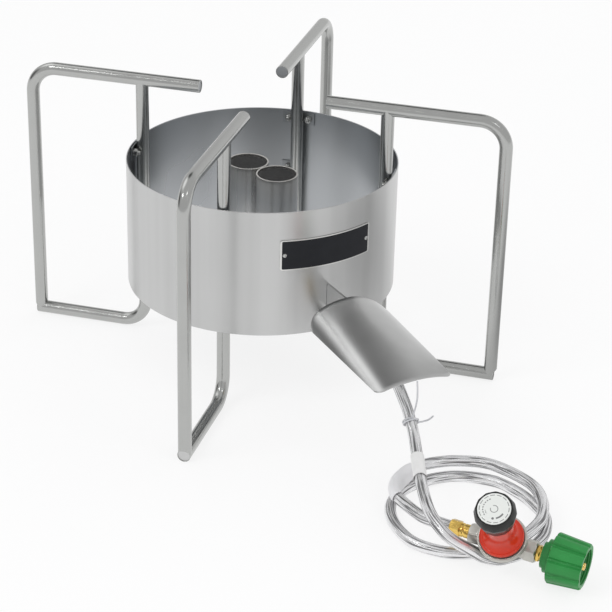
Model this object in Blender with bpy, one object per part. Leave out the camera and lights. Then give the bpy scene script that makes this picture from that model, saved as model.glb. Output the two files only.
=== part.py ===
"""Propane burner stand: wind shroud on four bent-tube legs, twin burner, heat shield, hose and regulator.

Metres, +Z up. The origin is on the wind shroud's axis, at the level of the feet. The legs stand at
-Y (front), +X (right), +Y (back) and -X (left); the gas supply leaves between front and right.
"""
import math

import bmesh
import bpy
import numpy as np
from mathutils import Matrix, Vector

# Fits
GAP = 0.00035          # between a piece and the one it rests on
LOOSE = 0.0006         # round a shaft that turns

# Wind shroud
SHROUD_RADIUS = 0.165
SHROUD_WALL = 0.0015
SHROUD_BOTTOM = 0.0989
SHROUD_TOP = 0.2569
SHROUD_SIDES = 72

# Legs
TUBE_RADIUS = 0.0079375
TUBE_SIDES = 16
UPPER_TUBE_INNER_END = 0.0794
UPPER_TUBE_HEIGHT = 0.3382
UPPER_BEND = 0.032
OUTER_UPRIGHT = 0.2964
LOWER_TUBE_OUTER_END = 0.3005
LOWER_BEND = 0.030
BEND_STEPS = 8

# Straps, studs and nuts that hold the shroud to the legs
STRAP_THICKNESS = 0.0012
STRAP_HEIGHT = 0.016
STRAP_REACH = 0.021
UPPER_STRAP = 0.247
LOWER_STRAP = 0.178
STUD_SPREAD = 0.0132
STUD_RADIUS = 0.0025
STUD_LENGTH = 0.0095
STUD_ROOT = 0.0009
NUT_FLATS = 0.008
NUT_HEIGHT = 0.004

# Nameplate
PLATE_HALF_ANGLE = math.radians(21.0)
PLATE_BOTTOM = 0.184
PLATE_TOP = 0.222
PLATE_THICKNESS = 0.0009

# Supply side
SUPPLY_AZIMUTH = math.radians(-45.0)
SUPPLY_HEIGHT = 0.112
SUPPLY_PIPE_RADIUS = 0.00685
SUPPLY_PIPE_END = 0.236
HEX_FLATS = 0.017
ADAPTER_LENGTH = 0.016
SWIVEL_LENGTH = 0.016
CRIMP_RADIUS = 0.0078
CRIMP_LENGTH = 0.019

# Burner
BURNER_AZIMUTH = math.radians(-30.0)
BURNER_RADIUS = 0.0254
BURNER_WALL = 0.002
BURNER_BOTTOM = 0.128
BURNER_TOP = 0.2436
SCREEN_RECESS = 0.002
SCREEN_THICKNESS = 0.0015
SCREEN_HOLE = 0.0016
SCREEN_RINGS = 2
MANIFOLD_LENGTH = 0.078
MANIFOLD_WIDTH = 0.028
MANIFOLD_HEIGHT = 0.016
JET_FLATS = 0.010
JET_LENGTH = 0.011
JET_BORE = 0.0009

# Bracket on edge that carries the burner and the heat shield
BRACKET_THICKNESS = 0.003
BRACKET_BOTTOM = 0.1300
BRACKET_TOP = 0.1585
BRACKET_TONGUE = 0.012
BRACKET_TONGUE_END = 0.292

# Heat shield
SHIELD_THICKNESS = 0.0012
SHIELD_NEAR = 0.210
SHIELD_FAR = 0.363
SHIELD_NEAR_HALF = 0.053
SHIELD_FAR_HALF = 0.049
SHIELD_NEAR_CREST = 0.161
SHIELD_FAR_CREST = 0.128
SHIELD_NEAR_RISE = 0.027
SHIELD_FAR_RISE = 0.008
SHIELD_CORNER = 0.010
SHIELD_ROWS = 8

# Hose
HOSE_RADIUS = 0.0065
HOSE_STEP = 0.0148
LEAD_ROUTE = [
    (0.2190, -0.2190, 0.1100),
    (0.2280, -0.2280, 0.1042),
    (0.2357, -0.2357, 0.0954),
    (0.2452, -0.2458, 0.0830),
    (0.2525, -0.2553, 0.0715),
    (0.2597, -0.2685, 0.0615),
    (0.2676, -0.2890, 0.0540),
]
COIL_CENTRE = (0.334, -0.319)
COIL_ROUTE = [  # turned angle in degrees, radius, height: from the lead, twice round, to the regulator
    (172, 0.0596, 0.0502),
    (195, 0.0538, 0.0486),
    (224, 0.0586, 0.0484),
    (243, 0.0721, 0.0484),
    (254, 0.0847, 0.0472),
    (262, 0.0932, 0.0436),
    (268, 0.0978, 0.0386),
    (274, 0.0980, 0.0322),
    (280, 0.0961, 0.0258),
    (285, 0.0945, 0.0200),
    (290, 0.0937, 0.0141),
    (296, 0.0934, 0.0099),
    (302, 0.0927, 0.0072),
    (308, 0.0918, 0.0065),
    (323, 0.0914, 0.0065),
    (346, 0.0888, 0.0065),
    (371, 0.0848, 0.0065),
    (396, 0.0766, 0.0065),
    (416, 0.0746, 0.0065),
    (440, 0.0763, 0.0065),
    (474, 0.0780, 0.0065),
    (509, 0.0806, 0.0065),
    (537, 0.0844, 0.0065),
    (564, 0.0844, 0.0065),
    (595, 0.0854, 0.0065),
    (621, 0.0818, 0.0065),
    (648, 0.0771, 0.0070),
    (661, 0.0773, 0.0087),
    (671, 0.0782, 0.0113),
    (680, 0.0794, 0.0143),
    (690, 0.0805, 0.0174),
    (701, 0.0812, 0.0194),
    (716, 0.0815, 0.0202),
    (740, 0.0818, 0.0202),
    (767, 0.0834, 0.0202),
    (803, 0.0868, 0.0202),
    (828, 0.0884, 0.0202),
    (850, 0.0893, 0.0206),
    (867, 0.0885, 0.0216),
    (878, 0.0874, 0.0219),
    (889, 0.0858, 0.0221),
    (899, 0.0829, 0.0224),
    (910, 0.0782, 0.0228),
    (920, 0.0724, 0.0236),
    (932, 0.0683, 0.0254),
    (947, 0.0672, 0.0276),
    (961, 0.0693, 0.0306),
]
SPLICE_GAP = 0.0003
TAG_WALL = 0.0005
TAG_CLEARANCE = 0.0008
COLLAR_LENGTH = 0.033
COLLAR_SHARE = 0.25
SLEEVE_FROM_ANGLE = 868.0
SLEEVE_TO_ANGLE = 909.0
TIE_RADIUS = 0.0010
TIE_HEIGHT = 0.0725
TIE_SLACK = 0.0012
TIE_TURNS = 1.75
TIE_PITCH = 0.0026
TIE_TAIL = [(0.0120, 0.0085, -0.0025), (0.0180, 0.0100, 0.0000), (0.0235, 0.0095, 0.0060)]

# Regulator, in its own frame: X along the fittings towards the cylinder, Z out through the knob
REGULATOR_YAW = math.radians(-9.0)
REGULATOR_PITCH = math.radians(2.5)
REGULATOR_TILT = math.radians(35.2)
REGULATOR_PLACE = (0.3870, -0.3985)
NUT_FLOOR_GAP = 0.0004

BODY_FLANGE_RADIUS = 0.0266
BODY_FLANGE_TOP = 0.013
BODY_FLANGE_THICKNESS = 0.005
BODY_NECK_RADIUS = 0.0160
BODY_BASE_RADIUS = 0.0118
BODY_BASE = -0.0112
CHAMBER_RADIUS = 0.016
CHAMBER_DEPTH = 0.0021
BOSS_RADIUS = 0.0105
BOSS_OVERLAP = 0.002
OUTLET_HEX_FLATS = 0.0195
OUTLET_HEX_FROM = 0.0250
OUTLET_HEX_TO = 0.0370
INLET_HEX_FLATS = 0.0215
INLET_HEX_FROM = 0.0250
INLET_HEX_TO = 0.0375

DIAPHRAGM_RADIUS = 0.0230
DIAPHRAGM_THICKNESS = 0.0015
BONNET_RADIUS = 0.0236
BONNET_RIM = 0.004
BONNET_WALL = 0.0025
BONNET_NECK_RADIUS = 0.015
BONNET_DOME_TOP = 0.0345
BONNET_TOP = 0.0672
BONNET_CEILING = 0.0617
DOME_STEPS = 6

SCREW_RADIUS = 0.004
SCREW_TRAVEL = 0.006
SCREW_SPARE = 0.006
BUTTON_RADIUS = 0.0095
BUTTON_THICKNESS = 0.003
BUTTON_TOP = 0.0577
SPRING_WIRE = 0.001
SPRING_RADIUS = 0.0075
SPRING_TURNS = 8
CURL_POINTS = 9

KNOB_SIDES = 12
KNOB_BOTTOM = 0.0600
KNOB_TOP = 0.0872
KNOB_FOOT_RADIUS = 0.0182
KNOB_SHOULDER_RADIUS = 0.0218
KNOB_SHOULDER_HEIGHT = 0.0778
KNOB_EDGE_RADIUS = 0.0190
DIAL_RADIUS = 0.0173
DIAL_THICKNESS = 0.0012

FERRULE_HEX_FLATS = 0.0165
FERRULE_NECK_RADIUS = 0.0076
FERRULE_HEX_LENGTH = 0.0145
FERRULE_NECK_LENGTH = 0.0075

NIPPLE_RADIUS = 0.0068
NIPPLE_TIP_RADIUS = 0.0038
NIPPLE_COLLAR_FLATS = 0.0165
NIPPLE_COLLAR_LENGTH = 0.0040
NIPPLE_END = 0.0898
COUPLING_BACK = 0.0445
COUPLING_STEP = 0.0485
COUPLING_SHOULDER = 0.0545
COUPLING_FRONT = 0.091
COUPLING_BACK_RADIUS = 0.0140
COUPLING_STEP_RADIUS = 0.0180
COUPLING_RIM_RADIUS = 0.0275
COUPLING_FRONT_RADIUS = 0.02475
COUPLING_RIB_HEIGHT = 0.0024
COUPLING_RIBS = 10
COUPLING_MOUTH_RADIUS = 0.0195
COUPLING_MOUTH_DEPTH = 0.028

# Values that follow from the sizes above
SHROUD_INSIDE = SHROUD_RADIUS - SHROUD_WALL
STRAP_OUTSIDE = SHROUD_INSIDE * math.cos(math.pi / SHROUD_SIDES) - GAP
STRAP_INSIDE = STRAP_OUTSIDE - STRAP_THICKNESS
INNER_UPRIGHT = STRAP_INSIDE - GAP - TUBE_RADIUS
BURNER_SPREAD = BURNER_RADIUS + GAP / 2
MANIFOLD_TOP = SUPPLY_HEIGHT + MANIFOLD_HEIGHT / 2
ADAPTER_START = SUPPLY_PIPE_END + GAP
SWIVEL_START = ADAPTER_START + ADAPTER_LENGTH + GAP
CRIMP_START = SWIVEL_START + SWIVEL_LENGTH + GAP
HOSE_START = CRIMP_START + CRIMP_LENGTH + GAP
KNOB_CEILING = BONNET_TOP + SCREW_TRAVEL + SCREW_SPARE
DIAPHRAGM_BOTTOM = BODY_FLANGE_TOP + GAP
BONNET_BOTTOM = DIAPHRAGM_BOTTOM + DIAPHRAGM_THICKNESS + GAP
SPRING_BOTTOM = DIAPHRAGM_BOTTOM + DIAPHRAGM_THICKNESS + SPRING_WIRE + GAP
SPRING_TOP = BUTTON_TOP - BUTTON_THICKNESS - SPRING_WIRE - GAP
FERRULE_START = -(OUTLET_HEX_TO + GAP)
FERRULE_END = FERRULE_START - FERRULE_NECK_LENGTH - FERRULE_HEX_LENGTH
NIPPLE_START = INLET_HEX_TO + GAP
REGULATOR_HEIGHT = (
    COUPLING_RIM_RADIUS * math.cos(REGULATOR_PITCH)
    + COUPLING_SHOULDER * math.sin(REGULATOR_PITCH)
    + NUT_FLOOR_GAP
)


# ---------------------------------------------------------------- materials and objects

def material(name, colour, metallic, roughness):
    """A Principled material, made once for each name."""
    found = bpy.data.materials.get(name)
    if found:
        return found
    made = bpy.data.materials.new(name)
    made.use_nodes = True
    shader = made.node_tree.nodes["Principled BSDF"]
    shader.inputs["Base Color"].default_value = (*colour, 1.0)
    shader.inputs["Metallic"].default_value = metallic
    shader.inputs["Roughness"].default_value = roughness
    return made


def stainless():
    return material("stainless_steel", (0.62, 0.62, 0.61), 1.0, 0.25)


def sheet_steel():
    return material("brushed_sheet", (0.50, 0.51, 0.52), 1.0, 0.35)


def burner_steel():
    return material("burner_steel", (0.22, 0.22, 0.23), 1.0, 0.35)


def zinc():
    return material("cast_zinc", (0.52, 0.50, 0.46), 0.9, 0.45)


def brass():
    return material("brass", (0.62, 0.40, 0.12), 1.0, 0.25)


def braid():
    return material("hose_braid", (0.60, 0.60, 0.60), 0.6, 0.35)


def white_film():
    return material("white_film", (0.78, 0.78, 0.76), 0.0, 0.5)


def black_plastic():
    return material("black_plastic", (0.03, 0.03, 0.03), 0.0, 0.4)


def red_enamel():
    return material("red_enamel", (0.58, 0.03, 0.02), 0.0, 0.2)


def green_nylon():
    return material("green_nylon", (0.05, 0.30, 0.08), 0.0, 0.45)


def frame_empty(name, matrix, parent=None):
    """An empty that carries pieces in a frame of their own."""
    empty = bpy.data.objects.new(name, None)
    bpy.context.scene.collection.objects.link(empty)
    empty.parent = parent
    empty.matrix_basis = matrix
    return empty


def finish(name, bm, finish_material, parent=None, matrix=None, smooth=35.0):
    """Turns a bmesh into an object with its faces out, smooth where it is round."""
    bmesh.ops.remove_doubles(bm, verts=bm.verts, dist=1e-7)
    bmesh.ops.recalc_face_normals(bm, faces=bm.faces)
    mesh = bpy.data.meshes.new(name)
    bm.to_mesh(mesh)
    bm.free()
    mesh.materials.append(finish_material)
    if smooth:
        mesh.shade_smooth()
        mesh.set_sharp_from_angle(angle=math.radians(smooth))
    return place(name, mesh, parent, matrix)


def place(name, mesh, parent=None, matrix=None):
    """An object for a mesh, which copies of a piece may share."""
    made = bpy.data.objects.new(name, mesh)
    bpy.context.scene.collection.objects.link(made)
    made.parent = parent
    if matrix is not None:
        made.matrix_basis = matrix
    return made


def guide(made):
    """Marks a cutter."""
    made.hide_render = True
    made.display_type = "WIRE"
    return made


def boolean(made, cutter, operation="DIFFERENCE"):
    modifier = made.modifiers.new(cutter.name, "BOOLEAN")
    modifier.operation = operation
    modifier.solver = "EXACT"
    modifier.object = cutter


# ---------------------------------------------------------------- shapes

def skin(bm, rings, closed=False, caps=True):
    """Quads between rings of points; a closed skin joins the last ring to the first."""
    rows = [[bm.verts.new(point) for point in ring] for ring in rings]
    pairs = list(zip(rows, rows[1:]))
    if closed:
        pairs.append((rows[-1], rows[0]))
    for low, high in pairs:
        for i in range(len(low)):
            j = (i + 1) % len(low)
            bm.faces.new((low[i], low[j], high[j], high[i]))
    if caps and not closed:
        bm.faces.new(rows[0])
        bm.faces.new(rows[-1])
    return rows


def polar(radius, angle, height):
    return Vector((radius * math.cos(angle), radius * math.sin(angle), height))


def circle(radius, height, sides, turn=0.0):
    return [polar(radius, turn + math.tau * i / sides, height) for i in range(sides)]


def hex_section(flats, height):
    """A hexagon's outline with a point in the middle of each side."""
    corner = flats / 2 / math.cos(math.pi / 6)
    return [polar(flats / 2 if i % 2 else corner, math.tau * i / 12, height) for i in range(12)]


def turned(profile, sides, hollow=False, turn=0.0):
    """A body turned about Z from (radius, height) points. A hollow profile is a loop that misses the axis."""
    bm = bmesh.new()
    skin(bm, [circle(radius, height, sides, turn) for radius, height in profile], closed=hollow)
    return bm


def hexagon(flats, bottom, top, bore=0.0):
    """A hexagonal prism along Z, with a bore where one is given."""
    outer = flats / 2 / math.cos(math.pi / 6)
    if not bore:
        return turned([(outer, bottom), (outer, top)], 6)
    bm = bmesh.new()
    corners = []
    for i in range(12):
        reach = outer if i % 2 == 0 else flats / 2
        corners.append((reach * math.cos(math.tau * i / 12), reach * math.sin(math.tau * i / 12)))
    rings = [[Vector((x, y, z)) for x, y in corners] for z in (bottom, top)]
    rings += [circle(bore, z, 12) for z in (top, bottom)]
    skin(bm, rings, closed=True)
    return bm


def box(low, high, bevel=0.0):
    bm = bmesh.new()
    bmesh.ops.create_cube(bm, size=1.0)
    size = [b - a for a, b in zip(low, high)]
    middle = [(a + b) / 2 for a, b in zip(low, high)]
    bmesh.ops.transform(bm, matrix=Matrix.Translation(middle) @ Matrix.Diagonal((*size, 1.0)), verts=bm.verts)
    if bevel:
        bmesh.ops.bevel(bm, geom=bm.edges[:], offset=bevel, segments=2, profile=0.5, affect="EDGES")
    return bm


def plate(outline, half):
    """A flat plate on edge: an outline of (x, z) points, half thick to either side in Y."""
    bm = bmesh.new()
    skin(bm, [[Vector((x, y, z)) for x, z in outline] for y in (-half, half)])
    return bm


def frames(points):
    """Centre, side and upward directions along a route, turned as little as the route allows."""
    count = len(points)
    found = []
    side = None
    for i, point in enumerate(points):
        ahead = points[min(i + 1, count - 1)] - points[max(i - 1, 0)]
        ahead.normalize()
        if side is None:
            side = ahead.cross(Vector((0, 0, 1)))
            if side.length < 0.1:
                side = ahead.cross(Vector((0, 1, 0)))
        side = (side - ahead * side.dot(ahead)).normalized()
        found.append((point, side, side.cross(ahead).normalized()))
    return found


def swept(points, radius, sides, turn=0.0, bore=0.0):
    """A round bar, or a sleeve where a bore is given, along a route."""
    bm = bmesh.new()

    def section(frame, reach):
        centre, side, up = frame
        angles = [turn + math.tau * i / sides for i in range(sides)]
        return [centre + side * reach * math.cos(a) + up * reach * math.sin(a) for a in angles]

    along = frames(points)
    rings = [section(frame, radius) for frame in along]
    if bore:
        rings += [section(frame, bore) for frame in reversed(along)]
    skin(bm, rings, closed=bool(bore))
    return bm


def arc_plate(inside, outside, half_angle, bottom, top, steps):
    """A plate rolled about the shroud's axis, centred on +X."""
    bm = bmesh.new()
    rings = []
    for i in range(steps + 1):
        angle = half_angle * (2 * i / steps - 1)
        c, s = math.cos(angle), math.sin(angle)
        corners = ((inside, bottom), (outside, bottom), (outside, top), (inside, top))
        rings.append([Vector((r * c, r * s, z)) for r, z in corners])
    skin(bm, rings)
    return bm


def arc(centre, radius, start, end, steps):
    """Points on an arc in the XZ plane, angles in degrees from +X towards +Z."""
    found = []
    for i in range(steps + 1):
        angle = math.radians(start + (end - start) * i / steps)
        across, up = radius * math.cos(angle), radius * math.sin(angle)
        found.append(Vector((centre[0] + across, 0.0, centre[1] + up)))
    return found


def smooth_route(points, step):
    """A smooth curve through a route's points, all but the first and the last, read off at even steps."""
    padded = [Vector(p) for p in points]
    fine = []
    for a, b, c, d in zip(padded, padded[1:], padded[2:], padded[3:]):
        for i in range(12):
            t = i / 12
            fine.append(
                0.5
                * (
                    2 * b
                    + (c - a) * t
                    + (2 * a - 5 * b + 4 * c - d) * t * t
                    + (3 * b - a - 3 * c + d) * t**3
                )
            )
    fine.append(padded[-2])
    lengths = np.cumsum([0.0] + [(q - p).length for p, q in zip(fine, fine[1:])])
    count = max(2, round(lengths[-1] / step))
    wanted = np.linspace(0.0, lengths[-1], count + 1)
    columns = [np.interp(wanted, lengths, [p[k] for p in fine]) for k in range(3)]
    return [Vector(p) for p in zip(*columns)], float(lengths[-1])


def cord(name, points, radius, resolution, finish_material):
    """A round cord as a bevelled curve with closed ends."""
    curve = bpy.data.curves.new(name, "CURVE")
    curve.dimensions = "3D"
    curve.bevel_depth = radius
    curve.bevel_resolution = resolution
    curve.use_fill_caps = True
    spline = curve.splines.new("POLY")
    spline.points.add(len(points) - 1)
    for point, spot in zip(spline.points, points):
        point.co = (*spot, 1.0)
    curve.materials.append(finish_material)
    made = bpy.data.objects.new(name, curve)
    bpy.context.scene.collection.objects.link(made)
    return made


def turned_about_z(angle):
    return Matrix.Rotation(angle, 4, "Z")


# ---------------------------------------------------------------- wind shroud

def leg_azimuths():
    return {"front": -math.pi / 2, "right": 0.0, "back": math.pi / 2, "left": math.pi}


def stud_places():
    """Side offset and height of each stud behind a leg."""
    return [(-STUD_SPREAD, UPPER_STRAP), (STUD_SPREAD, UPPER_STRAP), (STUD_SPREAD, LOWER_STRAP)]


def stud_matrix(side, height):
    """Z of the stud runs inward, square to the shroud's wall."""
    inward = Matrix.Rotation(-math.pi / 2, 4, "Y")
    return turned_about_z(side / SHROUD_INSIDE) @ Matrix.Translation((SHROUD_INSIDE, 0, height)) @ inward


def wind_shroud(supply):
    profile = [
        (SHROUD_RADIUS, SHROUD_TOP),
        (SHROUD_RADIUS, SHROUD_BOTTOM),
        (SHROUD_INSIDE, SHROUD_BOTTOM),
        (SHROUD_INSIDE, SHROUD_TOP),
    ]
    shroud = finish("wind_shroud", turned(profile, SHROUD_SIDES, hollow=True), sheet_steel())

    studs = bmesh.new()
    for azimuth in leg_azimuths().values():
        for side, height in stud_places():
            rows = skin(studs, [circle(STUD_RADIUS, z, 10) for z in (-STUD_ROOT, STUD_LENGTH)])
            matrix = turned_about_z(azimuth) @ stud_matrix(side, height)
            bmesh.ops.transform(studs, matrix=matrix, verts=[v for row in rows for v in row])
    stud_bodies = guide(finish("stud_bodies", studs, sheet_steel(), smooth=0))
    boolean(shroud, stud_bodies, "UNION")

    half = BRACKET_THICKNESS / 2 + GAP
    reach = SHROUD_WALL * 4
    slot = box(
        (SHROUD_INSIDE - reach, -half, BRACKET_BOTTOM - GAP),
        (SHROUD_RADIUS + reach, half, BRACKET_TOP + GAP),
    )
    boolean(shroud, guide(finish("bracket_slot", slot, sheet_steel(), supply, smooth=0)))

    hole = turned([(SUPPLY_PIPE_RADIUS + GAP * 2, -reach), (SUPPLY_PIPE_RADIUS + GAP * 2, reach)], 20)
    along = Matrix.Translation((SHROUD_RADIUS, 0, SUPPLY_HEIGHT)) @ Matrix.Rotation(math.pi / 2, 4, "Y")
    boolean(shroud, guide(finish("supply_hole", hole, sheet_steel(), supply, along, smooth=0)))


def nameplate(supply):
    inside = SHROUD_RADIUS + GAP
    shape = arc_plate(inside, inside + PLATE_THICKNESS, PLATE_HALF_ANGLE, PLATE_BOTTOM, PLATE_TOP, 14)
    finish("nameplate", shape, black_plastic(), supply)


# ---------------------------------------------------------------- legs

def tube_circumradius():
    """Polygon corners whose flats lie at the tube's true radius."""
    return TUBE_RADIUS / math.cos(math.pi / TUBE_SIDES)


def upper_route():
    bend = (OUTER_UPRIGHT - UPPER_BEND, UPPER_TUBE_HEIGHT - UPPER_BEND)
    start = Vector((UPPER_TUBE_INNER_END, 0, UPPER_TUBE_HEIGHT))
    return [start, *arc(bend, UPPER_BEND, 90, 0, BEND_STEPS), Vector((OUTER_UPRIGHT, 0, TUBE_RADIUS))]


def lower_route():
    bend = (INNER_UPRIGHT + LOWER_BEND, TUBE_RADIUS + LOWER_BEND)
    start = Vector((LOWER_TUBE_OUTER_END, 0, TUBE_RADIUS))
    end = Vector((INNER_UPRIGHT, 0, UPPER_TUBE_HEIGHT))
    return [start, *arc(bend, LOWER_BEND, 270, 180, BEND_STEPS), end]


def cope_cutter(name, height, middle, parent):
    """The other tube of a joint, a gap larger all round."""
    points = [Vector((middle - TUBE_RADIUS * 3, 0, height)), Vector((middle + TUBE_RADIUS * 3, 0, height))]
    reach = tube_circumradius() + GAP / math.cos(math.pi / TUBE_SIDES)
    shape = swept(points, reach, TUBE_SIDES, turn=math.pi / TUBE_SIDES)
    return guide(finish(name, shape, stainless(), parent, smooth=0))


def strap(name, height, from_side, to_side, leg, holes):
    middle = (from_side + to_side) / 2
    half = (to_side - from_side) / 2 / STRAP_OUTSIDE
    bottom, top = height - STRAP_HEIGHT / 2, height + STRAP_HEIGHT / 2
    shape = arc_plate(STRAP_INSIDE, STRAP_OUTSIDE, half, bottom, top, 8)
    made = finish(name, shape, sheet_steel(), leg, turned_about_z(middle / STRAP_OUTSIDE))
    boolean(made, holes)


def nut_mesh():
    bm = hexagon(NUT_FLATS, 0.0, NUT_HEIGHT, bore=STUD_RADIUS + GAP)
    carrier = finish("nut_pattern", bm, stainless())
    mesh = carrier.data
    bpy.data.objects.remove(carrier)
    return mesh


def leg(side_name, azimuth, nuts):
    carrier = frame_empty(f"leg_{side_name}", turned_about_z(azimuth))
    reach = tube_circumradius()
    turn = math.pi / TUBE_SIDES

    bar = swept(upper_route(), reach, TUBE_SIDES, turn)
    upper = finish(f"leg_{side_name}_upper_tube", bar, stainless(), carrier)
    boolean(upper, cope_cutter(f"foot_cope_{side_name}", TUBE_RADIUS, OUTER_UPRIGHT, carrier))
    bar = swept(lower_route(), reach, TUBE_SIDES, turn)
    lower = finish(f"leg_{side_name}_lower_tube", bar, stainless(), carrier)
    boolean(lower, cope_cutter(f"head_cope_{side_name}", UPPER_TUBE_HEIGHT, INNER_UPRIGHT, carrier))

    holes = bmesh.new()
    for side, height in stud_places():
        rows = skin(holes, [circle(STUD_RADIUS + GAP, z, 12) for z in (-STUD_LENGTH, STUD_LENGTH)])
        bmesh.ops.transform(holes, matrix=stud_matrix(side, height), verts=[v for row in rows for v in row])
    holes = guide(finish(f"strap_holes_{side_name}", holes, sheet_steel(), carrier, smooth=0))
    strap(f"leg_{side_name}_upper_strap", UPPER_STRAP, -STRAP_REACH, STRAP_REACH, carrier, holes)
    strap(f"leg_{side_name}_lower_strap", LOWER_STRAP, -TUBE_RADIUS, STRAP_REACH, carrier, holes)

    labels = ("upper_nut_a", "upper_nut_b", "lower_nut")
    seat = SHROUD_INSIDE - STRAP_INSIDE + GAP
    for label, (side, height) in zip(labels, stud_places()):
        off_wall = Matrix.Translation((0, 0, seat))
        place(f"leg_{side_name}_{label}", nuts, carrier, stud_matrix(side, height) @ off_wall)


# ---------------------------------------------------------------- burner

def burner_frame(sign):
    angle = BURNER_AZIMUTH if sign > 0 else BURNER_AZIMUTH + math.pi
    return Matrix.Translation((BURNER_SPREAD * math.cos(angle), BURNER_SPREAD * math.sin(angle), 0))


def burner_tube(name, matrix):
    bore = BURNER_RADIUS - BURNER_WALL
    outside = [(BURNER_RADIUS, BURNER_TOP), (BURNER_RADIUS, BURNER_BOTTOM)]
    profile = [*outside, (bore, BURNER_BOTTOM), (bore, BURNER_TOP)]
    finish(name, turned(profile, 36, hollow=True), burner_steel(), matrix=matrix)


def flame_screen(name, matrix):
    """A disc with rings of holes, set just below the burner's mouth."""
    radius = BURNER_RADIUS - BURNER_WALL - GAP
    top = BURNER_TOP - SCREEN_RECESS
    disc = turned([(radius, top), (radius, top - SCREEN_THICKNESS)], 36)
    made = finish(name, disc, burner_steel(), matrix=matrix)
    places = [(0.0, 0.0)]
    for ring in range(1, SCREEN_RINGS + 1):
        reach = radius * ring / (SCREEN_RINGS + 0.6)
        places += [(reach * math.cos(math.tau * i / (6 * ring)), reach * math.sin(math.tau * i / (6 * ring)))
                   for i in range(6 * ring)]
    holes = bmesh.new()
    for x, y in places:
        ends = (top - 2 * SCREEN_THICKNESS, top + SCREEN_THICKNESS)
        rows = skin(holes, [circle(SCREEN_HOLE, z, 6) for z in ends])
        bmesh.ops.translate(holes, vec=(x, y, 0), verts=[v for row in rows for v in row])
    boolean(made, guide(finish(f"{name}_holes", holes, burner_steel(), matrix=matrix, smooth=0)))


def jet(name, matrix):
    bm = hexagon(JET_FLATS, MANIFOLD_TOP + GAP, MANIFOLD_TOP + GAP + JET_LENGTH, bore=JET_BORE)
    finish(name, bm, brass(), matrix=matrix)


def burner(supply):
    for label, sign in (("right", 1), ("left", -1)):
        matrix = burner_frame(sign)
        burner_tube(f"burner_tube_{label}", matrix)
        flame_screen(f"flame_screen_{label}", matrix)
        jet(f"gas_jet_{label}", matrix)
    half = (MANIFOLD_LENGTH / 2, MANIFOLD_WIDTH / 2)
    bottom = SUPPLY_HEIGHT - MANIFOLD_HEIGHT / 2
    shape = box((-half[0], -half[1], bottom), (half[0], half[1], MANIFOLD_TOP), bevel=0.0015)
    finish("gas_manifold", shape, zinc(), supply, smooth=0)


def shield_crest(reach):
    """Height of the shield's top line at a distance from the axis."""
    share = (reach - SHIELD_NEAR) / (SHIELD_FAR - SHIELD_NEAR)
    return SHIELD_NEAR_CREST + (SHIELD_FAR_CREST - SHIELD_NEAR_CREST) * share


def bracket(supply):
    """A bar on edge: through the shroud to the burner inside, and out under the shield's crest."""
    turn = SUPPLY_AZIMUTH - BURNER_AZIMUTH
    offset = BURNER_SPREAD * abs(math.sin(turn)) + BRACKET_THICKNESS / 2
    inner = BURNER_SPREAD * math.cos(turn) + math.sqrt((BURNER_RADIUS + GAP) ** 2 - offset**2) + GAP
    under = SHIELD_THICKNESS + GAP * 2
    outline = [
        (inner, BRACKET_BOTTOM),
        (SHIELD_NEAR, BRACKET_BOTTOM),
        (BRACKET_TONGUE_END, shield_crest(BRACKET_TONGUE_END) - under - BRACKET_TONGUE),
        (BRACKET_TONGUE_END, shield_crest(BRACKET_TONGUE_END) - under),
        (SHIELD_NEAR, shield_crest(SHIELD_NEAR) - under),
        (SHIELD_NEAR - GAP * 4, BRACKET_TOP),
        (inner, BRACKET_TOP),
    ]
    finish("burner_bracket", plate(outline, BRACKET_THICKNESS / 2), sheet_steel(), supply, smooth=0)


def heat_shield(supply):
    """A rolled arch that flattens outward, with rounded corners."""
    count = 14
    sides = [math.sin(math.pi / 2 * (2 * i / count - 1)) for i in range(count + 1)]
    bm = bmesh.new()
    rows = []
    for row in range(SHIELD_ROWS + 1):
        share = row / SHIELD_ROWS
        line = []
        for s in sides:
            from_edge = (1 - abs(s)) * SHIELD_FAR_HALF
            inset = 0.0
            if from_edge < SHIELD_CORNER:
                inset = SHIELD_CORNER - math.sqrt(SHIELD_CORNER**2 - (SHIELD_CORNER - from_edge) ** 2)
            reach = SHIELD_NEAR + inset + (SHIELD_FAR - SHIELD_NEAR - 2 * inset) * share
            along = (reach - SHIELD_NEAR) / (SHIELD_FAR - SHIELD_NEAR)
            half = SHIELD_NEAR_HALF + (SHIELD_FAR_HALF - SHIELD_NEAR_HALF) * along
            rise = SHIELD_NEAR_RISE + (SHIELD_FAR_RISE - SHIELD_NEAR_RISE) * along
            line.append(bm.verts.new((reach, s * half, shield_crest(reach) - rise * s * s)))
        rows.append(line)
    for near, far in zip(rows, rows[1:]):
        for i in range(count):
            bm.faces.new((near[i], far[i], far[i + 1], near[i + 1]))
    mesh = bpy.data.meshes.new("heat_shield")
    bm.to_mesh(mesh)
    bm.free()
    mesh.materials.append(sheet_steel())
    mesh.shade_smooth()
    made = place("heat_shield", mesh, supply)
    solid = made.modifiers.new("sheet", "SOLIDIFY")
    solid.thickness = SHIELD_THICKNESS
    solid.offset = -1.0


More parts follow.
